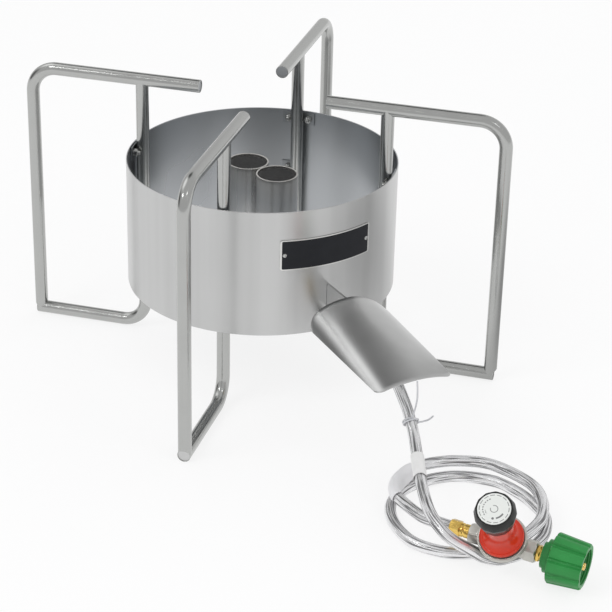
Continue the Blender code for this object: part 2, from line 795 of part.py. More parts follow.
def supply_fittings(supply):
    lying = Matrix.Translation((0, 0, SUPPLY_HEIGHT)) @ Matrix.Rotation(math.pi / 2, 4, "Y")
    line = frame_empty("supply_line", lying, supply)
    start = MANIFOLD_LENGTH / 2 + GAP
    pipe = turned([(SUPPLY_PIPE_RADIUS, start), (SUPPLY_PIPE_RADIUS, SUPPLY_PIPE_END)], 20)
    finish("supply_pipe", pipe, stainless(), line)
    adapter = hexagon(HEX_FLATS, ADAPTER_START, ADAPTER_START + ADAPTER_LENGTH)
    finish("flare_adapter", adapter, brass(), line, smooth=0)
    nut = hexagon(HEX_FLATS, SWIVEL_START, SWIVEL_START + SWIVEL_LENGTH)
    finish("hose_swivel_nut", nut, brass(), line, smooth=0)
    crimp = turned([(CRIMP_RADIUS, CRIMP_START), (CRIMP_RADIUS, CRIMP_START + CRIMP_LENGTH)], 20)
    finish("hose_crimp", crimp, stainless(), line)


# ---------------------------------------------------------------- hose

def on_supply_line(reach, height):
    return Vector((reach * math.cos(SUPPLY_AZIMUTH), reach * math.sin(SUPPLY_AZIMUTH), height))


def coil_points():
    centre = Vector((*COIL_CENTRE, 0.0))
    return [centre + polar(radius, math.radians(degrees), height) for degrees, radius, height in COIL_ROUTE]


def regulator_matrix():
    turn = (
        Matrix.Rotation(REGULATOR_YAW, 4, "Z")
        @ Matrix.Rotation(REGULATOR_PITCH, 4, "Y")
        @ Matrix.Rotation(REGULATOR_TILT, 4, "X")
    )
    return Matrix.Translation((*REGULATOR_PLACE, REGULATOR_HEIGHT)) @ turn


def hose_routes():
    """The lead from the burner's fitting to the collar, and the coil from there to the regulator."""
    lead = [on_supply_line(reach, SUPPLY_HEIGHT) for reach in (HOSE_START, HOSE_START + HOSE_RADIUS)]
    lead += [Vector(spot) for spot in LEAD_ROUTE]
    coil = coil_points()
    ahead = (coil[0] - lead[-1]).normalized()
    splice = (coil[0] + lead[-1]) / 2
    lead += [splice - ahead * HOSE_RADIUS, splice - ahead * SPLICE_GAP / 2]
    socket = regulator_matrix() @ Vector((FERRULE_END - GAP, 0, 0))
    straight = regulator_matrix() @ Vector((FERRULE_END - GAP - HOSE_RADIUS * 2, 0, 0))
    coil = [splice + ahead * SPLICE_GAP / 2, splice + ahead * HOSE_RADIUS, *coil, straight, socket]
    return lead, coil


def least_gap(points, radius):
    """The least gap of a wound tube to itself, away from its own neighbouring stretch."""
    places = np.array([tuple(p) for p in points])
    steps = np.linalg.norm(np.diff(places, axis=0), axis=1)
    along = np.concatenate([[0.0], np.cumsum(steps)])
    apart = np.linalg.norm(places[:, None] - places[None], axis=2)
    near = np.abs(along[:, None] - along[None]) < radius * 8
    apart[near] = np.inf
    return float(apart.min() - 2 * radius)


def hose():
    lead, coil = hose_routes()
    for name, route, resolution in (("hose_lead", lead, 2), ("hose_coil", coil, 1)):
        line, length = smooth_route(route, HOSE_STEP)
        line = [route[0], *line, route[-1]]
        print(f"{name}: {length + (line[1] - line[0]).length + (line[-1] - line[-2]).length:.4f} m")
        fine, _ = smooth_route(route, HOSE_RADIUS / 2)
        if name == "hose_coil":
            print(f"{name} least gap to itself: {least_gap(fine, HOSE_RADIUS) * 1000:.2f} mm")
        cord(name, line, HOSE_RADIUS, resolution, braid())
    hose_tags(lead, coil)
    hose_tie(lead)


def stretch(points, start, end):
    """The part of a fine line between two lengths along it."""
    found = []
    run = 0.0
    for a, b in zip(points, points[1:]):
        if start <= run <= end:
            found.append(a)
        run += (b - a).length
    return found


def hose_tags(lead, coil):
    """A film collar over the hose where the lead meets the coil, and a sleeve round the coil's left side."""
    bore = (HOSE_RADIUS + TAG_CLEARANCE) / math.cos(math.pi / 16)
    before, _ = smooth_route(lead[-5:], COLLAR_LENGTH / 10)
    after, _ = smooth_route(coil[:6], COLLAR_LENGTH / 10)
    collar = stretch([lead[-1], *reversed(before)], 0.0, COLLAR_LENGTH * COLLAR_SHARE)
    collar = [*reversed(collar[1:]), *stretch(after, 0.0, COLLAR_LENGTH * (1 - COLLAR_SHARE))]
    finish("hose_tag_collar", swept(collar, bore + TAG_WALL, 16, bore=bore), white_film())

    sleeve = []
    fine, _ = smooth_route(coil, COLLAR_LENGTH / 5)
    for point in fine[len(fine) // 2:]:
        turn = math.degrees(math.atan2(point.y - COIL_CENTRE[1], point.x - COIL_CENTRE[0])) % 360 + 720
        if SLEEVE_FROM_ANGLE < turn < SLEEVE_TO_ANGLE:
            sleeve.append(point)
    finish("hose_tag_sleeve", swept(sleeve, bore + TAG_WALL, 16, bore=bore), white_film())


def hose_tie(lead):
    """A wire from the shield's outer edge, once round the hose, with a free tail."""
    fine, _ = smooth_route(lead, HOSE_RADIUS / 2)
    index = min(range(len(fine)), key=lambda i: abs(fine[i].z - TIE_HEIGHT))
    centre = fine[index]
    ahead = (fine[index + 1] - fine[index - 1]).normalized()
    side = ahead.cross(Vector((0, 0, 1))).normalized() * -1
    up = ahead.cross(side).normalized()
    if up.z < 0:
        up = -up
    reach = HOSE_RADIUS + TIE_RADIUS + TIE_SLACK
    points = [on_supply_line(SHIELD_FAR + TIE_RADIUS + GAP, SHIELD_FAR_CREST - SHIELD_THICKNESS)]
    points.append(points[0] + Vector((0.0012, -0.0016, -0.022)))
    turns = int(TIE_TURNS * 12)
    for i in range(turns + 1):
        turn = math.tau * i / 12
        along = ahead * TIE_PITCH * (i / 12 - TIE_TURNS / 2)
        points.append(centre + up * reach * math.cos(turn) - side * reach * math.sin(turn) + along)
    points += [centre + Vector(offset) for offset in TIE_TAIL]
    cord("hose_tie", points, TIE_RADIUS, 1, white_film())


# ---------------------------------------------------------------- regulator

def regulator_body(fittings, frame):
    """Zinc body: diaphragm flange over a stepped base, with a boss and hexes along the fittings."""
    profile = [
        (BODY_BASE_RADIUS, BODY_BASE),
        (BODY_NECK_RADIUS, BODY_BASE + 0.004),
        (BODY_NECK_RADIUS, BODY_FLANGE_TOP - BODY_FLANGE_THICKNESS - 0.004),
        (BODY_FLANGE_RADIUS, BODY_FLANGE_TOP - BODY_FLANGE_THICKNESS),
        (BODY_FLANGE_RADIUS, BODY_FLANGE_TOP),
        (CHAMBER_RADIUS, BODY_FLANGE_TOP),
        (CHAMBER_RADIUS, BODY_FLANGE_TOP - CHAMBER_DEPTH),
    ]
    body = finish("regulator_body", turned(profile, 32), zinc(), frame)
    boss_ends = (-OUTLET_HEX_FROM - BOSS_OVERLAP, INLET_HEX_FROM + BOSS_OVERLAP)
    arms = [
        ("boss", turned([(BOSS_RADIUS, z) for z in boss_ends], 20)),
        ("outlet_hex", hexagon(OUTLET_HEX_FLATS, -OUTLET_HEX_TO, -OUTLET_HEX_FROM)),
        ("inlet_hex", hexagon(INLET_HEX_FLATS, INLET_HEX_FROM, INLET_HEX_TO)),
    ]
    for name, shape in arms:
        boolean(body, guide(finish(name, shape, zinc(), fittings, smooth=0)), "UNION")


def bonnet(frame):
    """Red cap: a rim, a dome and a neck, open below, with the screw's hole on top."""
    rim_top = BONNET_BOTTOM + BONNET_RIM
    outer = [(BONNET_RADIUS, BONNET_BOTTOM), (BONNET_RADIUS, rim_top)]
    dome = BONNET_RADIUS - 0.0015 - BONNET_NECK_RADIUS
    rise = BONNET_DOME_TOP - rim_top
    for i in range(DOME_STEPS + 1):
        turn = math.pi / 2 * i / DOME_STEPS
        radius = BONNET_NECK_RADIUS + dome * (1 - math.sin(turn))
        outer.append((radius, rim_top + rise * (1 - math.cos(turn))))
    outer += [(BONNET_NECK_RADIUS, BONNET_TOP)]
    hole = SCREW_RADIUS + LOOSE
    inner = [(hole, BONNET_TOP), (hole, BONNET_CEILING), (BONNET_NECK_RADIUS - BONNET_WALL, BONNET_CEILING)]
    inner += [(BONNET_NECK_RADIUS - BONNET_WALL, BONNET_BOTTOM)]
    finish("regulator_bonnet", turned(outer + inner, 32, hollow=True), red_enamel(), frame)


def knob(frame):
    """Twelve-sided skirted knob, hollow below, with a seat for the dial."""
    inside = BONNET_NECK_RADIUS + LOOSE
    seat = DIAL_RADIUS + GAP
    profile = [
        (seat, KNOB_TOP - DIAL_THICKNESS),
        (seat, KNOB_TOP),
        (KNOB_EDGE_RADIUS, KNOB_TOP),
        (KNOB_SHOULDER_RADIUS, KNOB_SHOULDER_HEIGHT),
        (KNOB_FOOT_RADIUS, KNOB_BOTTOM),
        (inside, KNOB_BOTTOM),
        (inside, KNOB_CEILING),
    ]
    bm = bmesh.new()
    rings = []
    for i, (radius, height) in enumerate(profile):
        faceted = 1 < i < 5
        reach = radius / math.cos(math.pi / KNOB_SIDES) if faceted else radius
        ring = []
        for k in range(KNOB_SIDES * 2):
            angle = math.tau * k / (KNOB_SIDES * 2)
            flat = math.cos(math.pi / KNOB_SIDES) if faceted and k % 2 else 1.0
            ring.append(Vector((reach * flat * math.cos(angle), reach * flat * math.sin(angle), height)))
        rings.append(ring)
    skin(bm, rings)
    finish("regulator_knob", bm, black_plastic(), frame, smooth=20)
    dial = turned([(DIAL_RADIUS, KNOB_TOP - DIAL_THICKNESS + GAP), (DIAL_RADIUS, KNOB_TOP + GAP / 2)], 32)
    finish("knob_dial", dial, white_film(), frame)


def screw_and_button(frame):
    tip = BUTTON_TOP + GAP
    shank = [(SCREW_RADIUS, tip + 0.0015), (SCREW_RADIUS, KNOB_CEILING - GAP)]
    finish("adjusting_screw", turned([(SCREW_RADIUS * 0.6, tip), *shank], 20), stainless(), frame)
    button = turned([(BUTTON_RADIUS, BUTTON_TOP - BUTTON_THICKNESS), (BUTTON_RADIUS, BUTTON_TOP)], 24)
    finish("spring_button", button, stainless(), frame)


def spring(frame_matrix):
    points = []
    count = SPRING_TURNS * CURL_POINTS
    for i in range(count + 1):
        turn = math.tau * i / CURL_POINTS
        height = SPRING_BOTTOM + (SPRING_TOP - SPRING_BOTTOM) * i / count
        points.append(frame_matrix @ polar(SPRING_RADIUS, turn, height))
    pitch = (SPRING_TOP - SPRING_BOTTOM) / SPRING_TURNS
    print(f"adjusting_spring least gap to itself: {(pitch - 2 * SPRING_WIRE) * 1000:.2f} mm")
    cord("adjusting_spring", points, SPRING_WIRE, 1, stainless())


def diaphragm(frame):
    low, high = DIAPHRAGM_BOTTOM, DIAPHRAGM_BOTTOM + DIAPHRAGM_THICKNESS
    disc = turned([(DIAPHRAGM_RADIUS, low), (DIAPHRAGM_RADIUS, high)], 32)
    finish("diaphragm", disc, black_plastic(), frame)


def hose_ferrule(fittings):
    """Brass end fitting: a neck at the regulator's hex and a hex that the hose is crimped in."""
    middle = FERRULE_START - FERRULE_NECK_LENGTH
    bm = bmesh.new()
    rings = [hex_section(FERRULE_HEX_FLATS, z) for z in (FERRULE_END, middle)]
    rings += [circle(FERRULE_NECK_RADIUS, z, 12) for z in (middle, FERRULE_START)]
    skin(bm, rings)
    finish("hose_ferrule", bm, brass(), fittings, smooth=20)


def inlet_nipple(fittings):
    """Brass stem through the coupling nut, with a hex collar at the body and a tapered tip."""
    collar = NIPPLE_START + NIPPLE_COLLAR_LENGTH
    bm = bmesh.new()
    rings = [hex_section(NIPPLE_COLLAR_FLATS, z) for z in (NIPPLE_START, collar)]
    stem = [
        (NIPPLE_RADIUS, collar),
        (NIPPLE_RADIUS, NIPPLE_END - 0.010),
        (NIPPLE_TIP_RADIUS + 0.001, NIPPLE_END - 0.004),
        (NIPPLE_TIP_RADIUS, NIPPLE_END),
    ]
    rings += [circle(radius, height, 12) for radius, height in stem]
    skin(bm, rings)
    finish("inlet_nipple", bm, brass(), fittings, smooth=20)


def coupling_nut(fittings):
    """Ribbed green nut: two steps behind, a tapering grip and a deep mouth; it spins on the nipple."""
    bore = NIPPLE_RADIUS / math.cos(math.pi / 12) + LOOSE
    mouth = COUPLING_FRONT - COUPLING_MOUTH_DEPTH
    grip = COUPLING_SHOULDER + 0.0015
    points_per_rib = 4
    count = COUPLING_RIBS * points_per_rib
    valley = COUPLING_RIB_HEIGHT

    def ribbed(radius, height, depth):
        ring = []
        for k in range(count):
            angle = math.tau * (k + 0.5) / count
            raised = k % points_per_rib in (0, 1)
            reach = radius if raised else radius - depth
            ring.append(Vector((reach * math.cos(angle), reach * math.sin(angle), height)))
        return ring

    rings = [
        circle(COUPLING_BACK_RADIUS, COUPLING_BACK, count, math.tau * 0.5 / count),
        circle(COUPLING_BACK_RADIUS, COUPLING_STEP, count, math.tau * 0.5 / count),
        circle(COUPLING_STEP_RADIUS, COUPLING_STEP, count, math.tau * 0.5 / count),
        circle(COUPLING_STEP_RADIUS, COUPLING_SHOULDER, count, math.tau * 0.5 / count),
        ribbed(COUPLING_RIM_RADIUS - 0.0012, COUPLING_SHOULDER, valley),
        ribbed(COUPLING_RIM_RADIUS, grip, valley),
        ribbed(COUPLING_FRONT_RADIUS, COUPLING_FRONT - 0.0015, valley),
        circle(COUPLING_FRONT_RADIUS - valley, COUPLING_FRONT, count, math.tau * 0.5 / count),
        circle(COUPLING_MOUTH_RADIUS, COUPLING_FRONT, count, math.tau * 0.5 / count),
        circle(COUPLING_MOUTH_RADIUS, mouth, count, math.tau * 0.5 / count),
        circle(bore, mouth, count, math.tau * 0.5 / count),
        circle(bore, COUPLING_BACK, count, math.tau * 0.5 / count),
    ]
    bm = bmesh.new()
    skin(bm, rings, closed=True)
    finish("coupling_nut", bm, green_nylon(), fittings, smooth=25)


def regulator():
    matrix = regulator_matrix()
    frame = frame_empty("regulator_frame", matrix)
    fittings = frame_empty("fittings_axis", Matrix.Rotation(math.pi / 2, 4, "Y"), frame)
    regulator_body(fittings, frame)
    diaphragm(frame)
    bonnet(frame)
    spring(matrix)
    screw_and_button(frame)
    knob(frame)
    hose_ferrule(fittings)
    inlet_nipple(fittings)
    coupling_nut(fittings)


def main():
    for old in list(bpy.data.objects):
        bpy.data.objects.remove(old)
    supply = frame_empty("supply_side", turned_about_z(SUPPLY_AZIMUTH))
    wind_shroud(supply)
    nameplate(supply)
    nuts = nut_mesh()
    for side_name, azimuth in leg_azimuths().items():
        leg(side_name, azimuth, nuts)
    burner(supply)
    bracket(supply)
    heat_shield(supply)
    supply_fittings(supply)
    hose()
    regulator()
    bpy.context.view_layer.update()


main()
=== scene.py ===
"""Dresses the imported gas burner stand: finer forms, finishes, the hose, and a plain studio round it."""
import functools
import math

import bmesh
import bpy
from bpy.props import FloatProperty, FloatVectorProperty, IntProperty, PointerProperty
from mathutils import Matrix, Vector


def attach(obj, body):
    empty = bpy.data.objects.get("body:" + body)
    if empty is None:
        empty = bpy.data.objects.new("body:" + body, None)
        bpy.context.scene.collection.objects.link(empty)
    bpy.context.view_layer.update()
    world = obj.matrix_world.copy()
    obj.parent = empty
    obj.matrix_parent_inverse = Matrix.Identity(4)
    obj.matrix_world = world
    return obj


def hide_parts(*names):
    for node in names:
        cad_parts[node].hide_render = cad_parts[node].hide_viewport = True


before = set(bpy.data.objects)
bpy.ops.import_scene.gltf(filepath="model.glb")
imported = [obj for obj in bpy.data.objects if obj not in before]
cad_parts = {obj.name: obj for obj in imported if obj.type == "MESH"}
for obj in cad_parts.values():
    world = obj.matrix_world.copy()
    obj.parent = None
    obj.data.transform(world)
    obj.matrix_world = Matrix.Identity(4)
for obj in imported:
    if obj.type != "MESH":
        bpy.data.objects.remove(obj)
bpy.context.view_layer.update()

bl_info = {
    "name": "Gas Burner Stand",
    "version": (1, 0, 0),
    "blender": (4, 5, 0),
    "location": "View3D > Sidebar > Burner",
    "description": "Builds the visible pieces of an outdoor gas burner stand on its packed frame",
    "category": "Object",
}

# ---------------------------------------------------------------- places shared with the solids

GAP = 0.00035
SUPPLY = Matrix.Rotation(math.radians(-45.0), 4, "Z")
SUPPLY_HEIGHT = 0.112
ALONG_X = Matrix.Rotation(math.pi / 2, 4, "Y")
SUPPLY_LINE = SUPPLY @ Matrix.Translation((0, 0, SUPPLY_HEIGHT)) @ ALONG_X

LEGS = {"front": -math.pi / 2, "right": 0.0, "back": math.pi / 2, "left": math.pi}
UPPER_END, UPPER_HEIGHT, UPPER_BEND = 0.0794, 0.3382, 0.032
OUTER_UPRIGHT, INNER_UPRIGHT = 0.2964, 0.153507
LOWER_END, LOWER_BEND = 0.3005, 0.030

SHROUD_BOTTOM, SHROUD_TOP, SHROUD_WALL = 0.0989, 0.2569, 0.0015
STUDS = ((-0.0132, 0.247), (0.0132, 0.247), (0.0132, 0.178))
NUT_SEAT = 0.161443

BURNER_TURN = math.radians(-30.0)
BURNER_SPREAD = 0.025575
BURNER_RADIUS, BURNER_BOTTOM, BURNER_TOP = 0.0254, 0.128, 0.2436

HOSE_RADIUS = 0.0065
HOSE_START = 0.2891
LEAD_ROUTE = (
    (0.2190, -0.2190, 0.1100),
    (0.2280, -0.2280, 0.1042),
    (0.2357, -0.2357, 0.0954),
    (0.2452, -0.2458, 0.0830),
    (0.2525, -0.2553, 0.0715),
    (0.2597, -0.2685, 0.0615),
    (0.2676, -0.2890, 0.0540),
)
COIL_CENTRE = (0.334, -0.319)
COIL_ROUTE = (
    (172, 0.0596, 0.0502),
    (195, 0.0538, 0.0486),
    (224, 0.0586, 0.0484),
    (243, 0.0721, 0.0484),
    (254, 0.0847, 0.0472),
    (262, 0.0932, 0.0436),
    (268, 0.0978, 0.0386),
    (274, 0.0980, 0.0322),
    (280, 0.0961, 0.0258),
    (285, 0.0945, 0.0200),
    (290, 0.0937, 0.0141),
    (296, 0.0934, 0.0099),
    (302, 0.0927, 0.0072),
    (308, 0.0918, 0.0065),
    (323, 0.0914, 0.0065),
    (346, 0.0888, 0.0065),
    (371, 0.0848, 0.0065),
    (396, 0.0766, 0.0065),
    (416, 0.0746, 0.0065),
    (440, 0.0763, 0.0065),
    (474, 0.0780, 0.0065),
    (509, 0.0806, 0.0065),
    (537, 0.0844, 0.0065),
    (564, 0.0844, 0.0065),
    (595, 0.0854, 0.0065),
    (621, 0.0818, 0.0065),
    (648, 0.0771, 0.0070),
    (661, 0.0773, 0.0087),
    (671, 0.0782, 0.0113),
    (680, 0.0794, 0.0143),
    (690, 0.0805, 0.0174),
    (701, 0.0812, 0.0194),
    (716, 0.0815, 0.0202),
    (740, 0.0818, 0.0202),
    (767, 0.0834, 0.0202),
    (803, 0.0868, 0.0202),
    (828, 0.0884, 0.0202),
    (850, 0.0893, 0.0206),
    (867, 0.0885, 0.0216),
    (878, 0.0874, 0.0219),
    (889, 0.0858, 0.0221),
    (899, 0.0829, 0.0224),
    (910, 0.0782, 0.0228),
    (920, 0.0724, 0.0236),
    (932, 0.0683, 0.0254),
    (947, 0.0672, 0.0276),
    (961, 0.0693, 0.0306),
)
COLLAR_LENGTH = 0.033
LABEL_CUT, LABEL_CUT_FACING = (0.2505, -0.3365, 0.0152), (-0.816, 0.183, 0.550)
LABEL_FROM, LABEL_TO, LABEL_REACH = 867.0, 915.0, 0.0125
TIE_RADIUS, TIE_HEIGHT, TIE_SLACK = 0.0010, 0.0725, 0.0012
TIE_TURNS, TIE_PITCH = 1.75, 0.0026
TIE_TAIL = ((0.0120, 0.0085, -0.0025), (0.0180, 0.0100, 0.0000), (0.0235, 0.0095, 0.0060))
SHIELD_FAR, SHIELD_FAR_CREST, SHIELD_WALL = 0.363, 0.128, 0.0012
EDGE_CURL = 0.5  # share of the curl that the shield's left edge keeps to its last stretch
WELD_SUNK = 0.0008  # the weld bead's middle, below the tube's skin
CAP_REACH, CAP_DEPTH = 0.90, 0.0007  # the plug in a leg tube's end
HEX_CHAMFER = 0.0009
SHADED_INSIDE_WITHIN = (0.1638, 0.1646)  # radii between which sheet steel turns from its inside, darkened and cooled as painted shade, to its outside

REGULATOR = (
    Matrix.Translation((0.3870, -0.3985, 0.030251))
    @ Matrix.Rotation(math.radians(-9.0), 4, "Z")
    @ Matrix.Rotation(math.radians(2.5), 4, "Y")
    @ Matrix.Rotation(math.radians(35.2), 4, "X")
)
FITTINGS = REGULATOR @ ALONG_X
FERRULE_START, FERRULE_END = -0.03735, -0.05935

CAMERA_PLACE = (0.6434, -2.17275, 1.20808)
CAMERA_YAW, CAMERA_PITCH, CAMERA_ROLL = (math.radians(a) for a in (-15.0511, -26.9623, 1.4092))
CAMERA_LENS = 118.88

ROOM_TONE = 0.68
ROOM_PANELS = (  # azimuth, height, inner and outer half angle in degrees, tone
    (76, 4, 14, 40, 0.80),
    (112, 52, 5, 20, 0.08),
    (188, 6, 8, 26, 0.14),
    (166, 50, 7, 25, 1.45),
    (-130, 43, 2, 5, 14.0),
    (-40, 48, 1, 4, 9.0),
)
FLOOR_DARK_PLACE, FLOOR_DARK_FROM, FLOOR_DARK_TO, FLOOR_DARK = (0.58, 0.10, 0.0), 0.44, 0.14, 0.62
FLOOR_GLOW = 0.80


# ---------------------------------------------------------------- settings

def length_setting(name, description, default):
    return FloatProperty(name=name, description=description, default=default, unit="LENGTH")


def count_setting(name, description, default, least, most):
    return IntProperty(name=name, description=description, default=default, min=least, max=most)


def colour_setting(name, description, default):
    return FloatVectorProperty(
        name=name, description=description, subtype="COLOR", default=default, min=0, max=1
    )


class StandSizes(bpy.types.PropertyGroup):
    """Sizes that a maker would change."""

    tube_radius: length_setting("Leg tube radius", "Radius of the bent leg tubes", 0.0079375)
    tube_sides: count_setting("Leg tube sides", "Faces round a leg tube", 40, 12, 64)
    shroud_radius: length_setting("Shroud radius", "Outside radius of the wind shroud", 0.165)
    weld_radius: length_setting("Weld bead", "Radius of the weld bead round a joint", 0.0007)
    nut_flats: length_setting("Nut flats", "Width across the flats of a shroud nut", 0.008)
    rivet_radius: length_setting("Rivet radius", "Radius of a nameplate rivet's head", 0.0026)
    screen_pitch: length_setting("Screen pitch", "Spacing of the flame screen's wires", 0.0019)
    braid_pitch: length_setting("Braid pitch", "Length of one crossing of the hose's braid", 0.0024)
    hose_sides: count_setting("Hose sides", "Faces round the hose", 24, 12, 48)


class StandFinishes(bpy.types.PropertyGroup):
    """Colours of the finishes."""

    polished: colour_setting("Polished steel", "Legs, nuts and pipe", (0.465, 0.470, 0.460))
    sheet: colour_setting("Brushed sheet", "Wind shroud, straps and heat shield", (0.575, 0.578, 0.575))
    burner: colour_setting("Burner steel", "Burner tubes", (0.50, 0.505, 0.505))
    zinc: colour_setting("Cast zinc", "Regulator body and manifold", (0.56, 0.55, 0.51))
    brass: colour_setting("Brass", "Fittings", (0.86, 0.60, 0.17))
    braid: colour_setting("Hose braid", "Steel wires over the hose", (0.90, 0.90, 0.91))
    enamel: colour_setting("Red enamel", "Regulator bonnet", (0.60, 0.036, 0.014))
    knob: colour_setting("Knob plastic", "Regulator knob", (0.012, 0.013, 0.012))
    dial: colour_setting("Dial", "Printed disc on the knob", (0.76, 0.78, 0.75))
    nylon: colour_setting("Green nylon", "Coupling nut", (0.026, 0.250, 0.055))
    film: colour_setting("White film", "Collar on the hose", (0.80, 0.80, 0.79))
    plate: colour_setting("Nameplate field", "Dark field of the nameplate", (0.018, 0.019, 0.022))
    floor: colour_setting("Floor", "Studio floor", (0.93, 0.93, 0.93))


def sizes():
    return bpy.context.scene.stand_sizes


def finishes():
    return bpy.context.scene.stand_finishes


# ---------------------------------------------------------------- finishes

def add_node(tree, kind, values=(), **settings):
    """A node in a tree, with its settings, and a value or a link for each input given."""
    made = tree.nodes.new(kind)
    for setting, value in settings.items():
        setattr(made, setting, value)
    for key, value in dict(values).items():
        if isinstance(value, bpy.types.NodeSocket):
            tree.links.new(value, made.inputs[key])
        else:
            made.inputs[key].default_value = value
    return made


class Finish:
    """A Principled material and the nodes that feed it."""

    def __init__(self, name, colour, metallic=0.0, roughness=0.5, **sockets):
        self.material = bpy.data.materials.new(name)
        self.material.use_nodes = True
        self.tree = self.material.node_tree
        self.shader = self.tree.nodes["Principled BSDF"]
        self.colour = (*colour, 1.0)
        self.set("Base Color", self.colour)
        self.set("Metallic", metallic)
        self.set("Roughness", roughness)
        for socket, value in sockets.items():
            self.set(socket.replace("_", " "), value)

    def set(self, socket, value):
        """Gives a socket of the shader a value, or the output of a node."""
        if isinstance(value, bpy.types.NodeSocket):
            self.tree.links.new(value, self.shader.inputs[socket])
        else:
            self.shader.inputs[socket].default_value = value

    def node(self, kind, values=(), **settings):
        return add_node(self.tree, kind, values, **settings)

    def place(self, scale=(1, 1, 1)):
        """Coordinates on the piece itself, stretched."""
        base = self.node("ShaderNodeTexCoord").outputs["Object"]
        return self.node("ShaderNodeMapping", {"Vector": base, "Scale": scale}).outputs["Vector"]

    def own_map(self):
        """The piece's own map, split into its parts."""
        return self.node("ShaderNodeSeparateXYZ", {"Vector": self.node("ShaderNodeTexCoord").outputs["UV"]})

    def noise(self, scale, place, detail=3.0, rough=0.55):
        return self.node(
            "ShaderNodeTexNoise", {"Vector": place, "Scale": scale, "Detail": detail, "Roughness": rough}
        ).outputs["Fac"]

    def math(self, operation, *values):
        return self.node("ShaderNodeMath", enumerate(values), operation=operation).outputs[0]

    def distance(self, x, y):
        """How far two coordinates are from their zero."""
        return self.math("SQRT", self.math("ADD", self.math("POWER", x, 2.0), self.math("POWER", y, 2.0)))

    def spread(self, value, low, high, to_low=0.0, to_high=1.0):
        """A value's range laid over another range."""
        return self.node(
            "ShaderNodeMapRange",
            {"Value": value, "From Min": low, "From Max": high, "To Min": to_low, "To Max": to_high},
        ).outputs["Result"]

    def mix(self, share, first, second):
        return self.node("ShaderNodeMix", {0: share, 6: first, 7: second}, data_type="RGBA").outputs[2]

    def shade(self, share, low, high):
        """The base colour made darker or lighter by a share of the way between two factors."""
        colours = [tuple(min(1.0, c * f) for c in self.colour[:3]) + (1.0,) for f in (low, high)]
        return self.mix(share, *colours)

    def bump(self, height, distance, strength=1.0):
        return self.node(
            "ShaderNodeBump", {"Height": height, "Distance": distance, "Strength": strength}
        ).outputs["Normal"]


def polished_steel():
    """Drawn tube, polished, with faint haze and fine scratches along it."""
    made = Finish("polished_steel", finishes().polished, 1.0, 0.2)
    haze = made.noise(38.0, made.place(), 4.0)
    fine = made.noise(900.0, made.place((1, 1, 0.06)), 2.0)
    made.set("Base Color", made.shade(haze, 0.93, 1.05))
    made.set("Roughness", made.spread(haze, 0.3, 0.7, 0.15, 0.25))
    made.set("Normal", made.bump(fine, 0.00003, 0.25))
    return made.material


def satin_sheet(name, grain, inside):
    """Satin sheet steel with soft painted reflection bands; inside the shroud its colour is darkened and
    cooled as painted shade.
    """
    made = Finish(name, finishes().sheet, 1.0, 0.3)
    # painted reflection: soft bands of lighter and darker colour, stretched upright on the shroud, mixed with
    # a random cloud
    painted_reflection_bands = made.noise(1.0, made.place(grain), 2.0, 0.6)
    cloud = made.noise(6.0, made.place(), 2.0)
    tone = made.math("ADD", made.math("MULTIPLY", painted_reflection_bands, 0.6), made.math("MULTIPLY", cloud, 0.4))
    colour = made.shade(made.spread(tone, 0.35, 0.65), 0.91, 1.03)
    spot = made.node("ShaderNodeSeparateXYZ", {"Vector": made.place()})
    # painted shade: inside the shroud's radius the colour is darkened by the inside share and tinted cool
    wall = made.spread(made.distance(spot.outputs[0], spot.outputs[1]), *SHADED_INSIDE_WITHIN)
    painted_inside_shade = tuple(c * inside * tint for c, tint in zip(made.colour, (0.97, 1.0, 1.04))) + (1.0,)
    colour = made.mix(wall, painted_inside_shade, colour)
    made.set("Base Color", colour)
    made.set("Roughness", made.spread(cloud, 0.3, 0.7, 0.27, 0.31))
    return made.material


def burner_steel():
    """Burner steel, made lighter and faintly straw towards its top as painted light."""
    made = Finish("burner_steel", finishes().burner, 1.0, 0.3)
    spot = made.node("ShaderNodeSeparateXYZ", {"Vector": made.place()})
    # painted light: the upper part of each tube is lightened towards a pale straw tone
    painted_top_light = made.spread(spot.outputs[2], 0.215, 0.245, 0.0, 0.5)
    clouded = made.shade(made.noise(30.0, made.place(), 3.0), 0.93, 1.05)
    tint = made.mix(painted_top_light, clouded, (0.78, 0.75, 0.70, 1.0))
    lines = made.noise(1.0, made.place((60, 60, 2)), 2.0)
    made.set("Base Color", tint)
    made.set("Roughness", made.spread(lines, 0.3, 0.7, 0.25, 0.30))
    return made.material


def screen_steel():
    """Fine wire, sooted by the flame."""
    made = Finish("screen_steel", (0.09, 0.09, 0.09), 1.0, 0.45)
    soot = made.noise(260.0, made.place(), 3.0)
    made.set("Base Color", made.shade(soot, 0.5, 1.5))
    return made.material


def cast_zinc():
    """Die-cast zinc: a grey skin with pits and a soft gloss."""
    made = Finish("cast_zinc", finishes().zinc, 0.85, 0.4)
    pits = made.noise(420.0, made.place(), 4.0, 0.65)
    cloud = made.noise(45.0, made.place(), 3.0)
    made.set("Base Color", made.shade(made.spread(cloud, 0.3, 0.7), 0.84, 1.14))
    made.set("Roughness", made.spread(pits, 0.3, 0.7, 0.30, 0.55))
    made.set("Normal", made.bump(pits, 0.00012, 0.5))
    return made.material


def machined_brass():
    """Brass with turning lines and a little tarnish."""
    made = Finish("machined_brass", finishes().brass, 1.0, 0.22)
    tarnish = made.noise(90.0, made.place(), 4.0)
    lines = made.noise(1500.0, made.place((1, 0.1, 0.1)), 2.0)
    made.set("Base Color", made.mix(made.spread(tarnish, 0.45, 0.8), made.colour, (0.50, 0.30, 0.06, 1.0)))
    made.set("Roughness", made.spread(tarnish, 0.3, 0.7, 0.15, 0.34))
    made.set("Normal", made.bump(lines, 0.00004, 0.3))
    return made.material


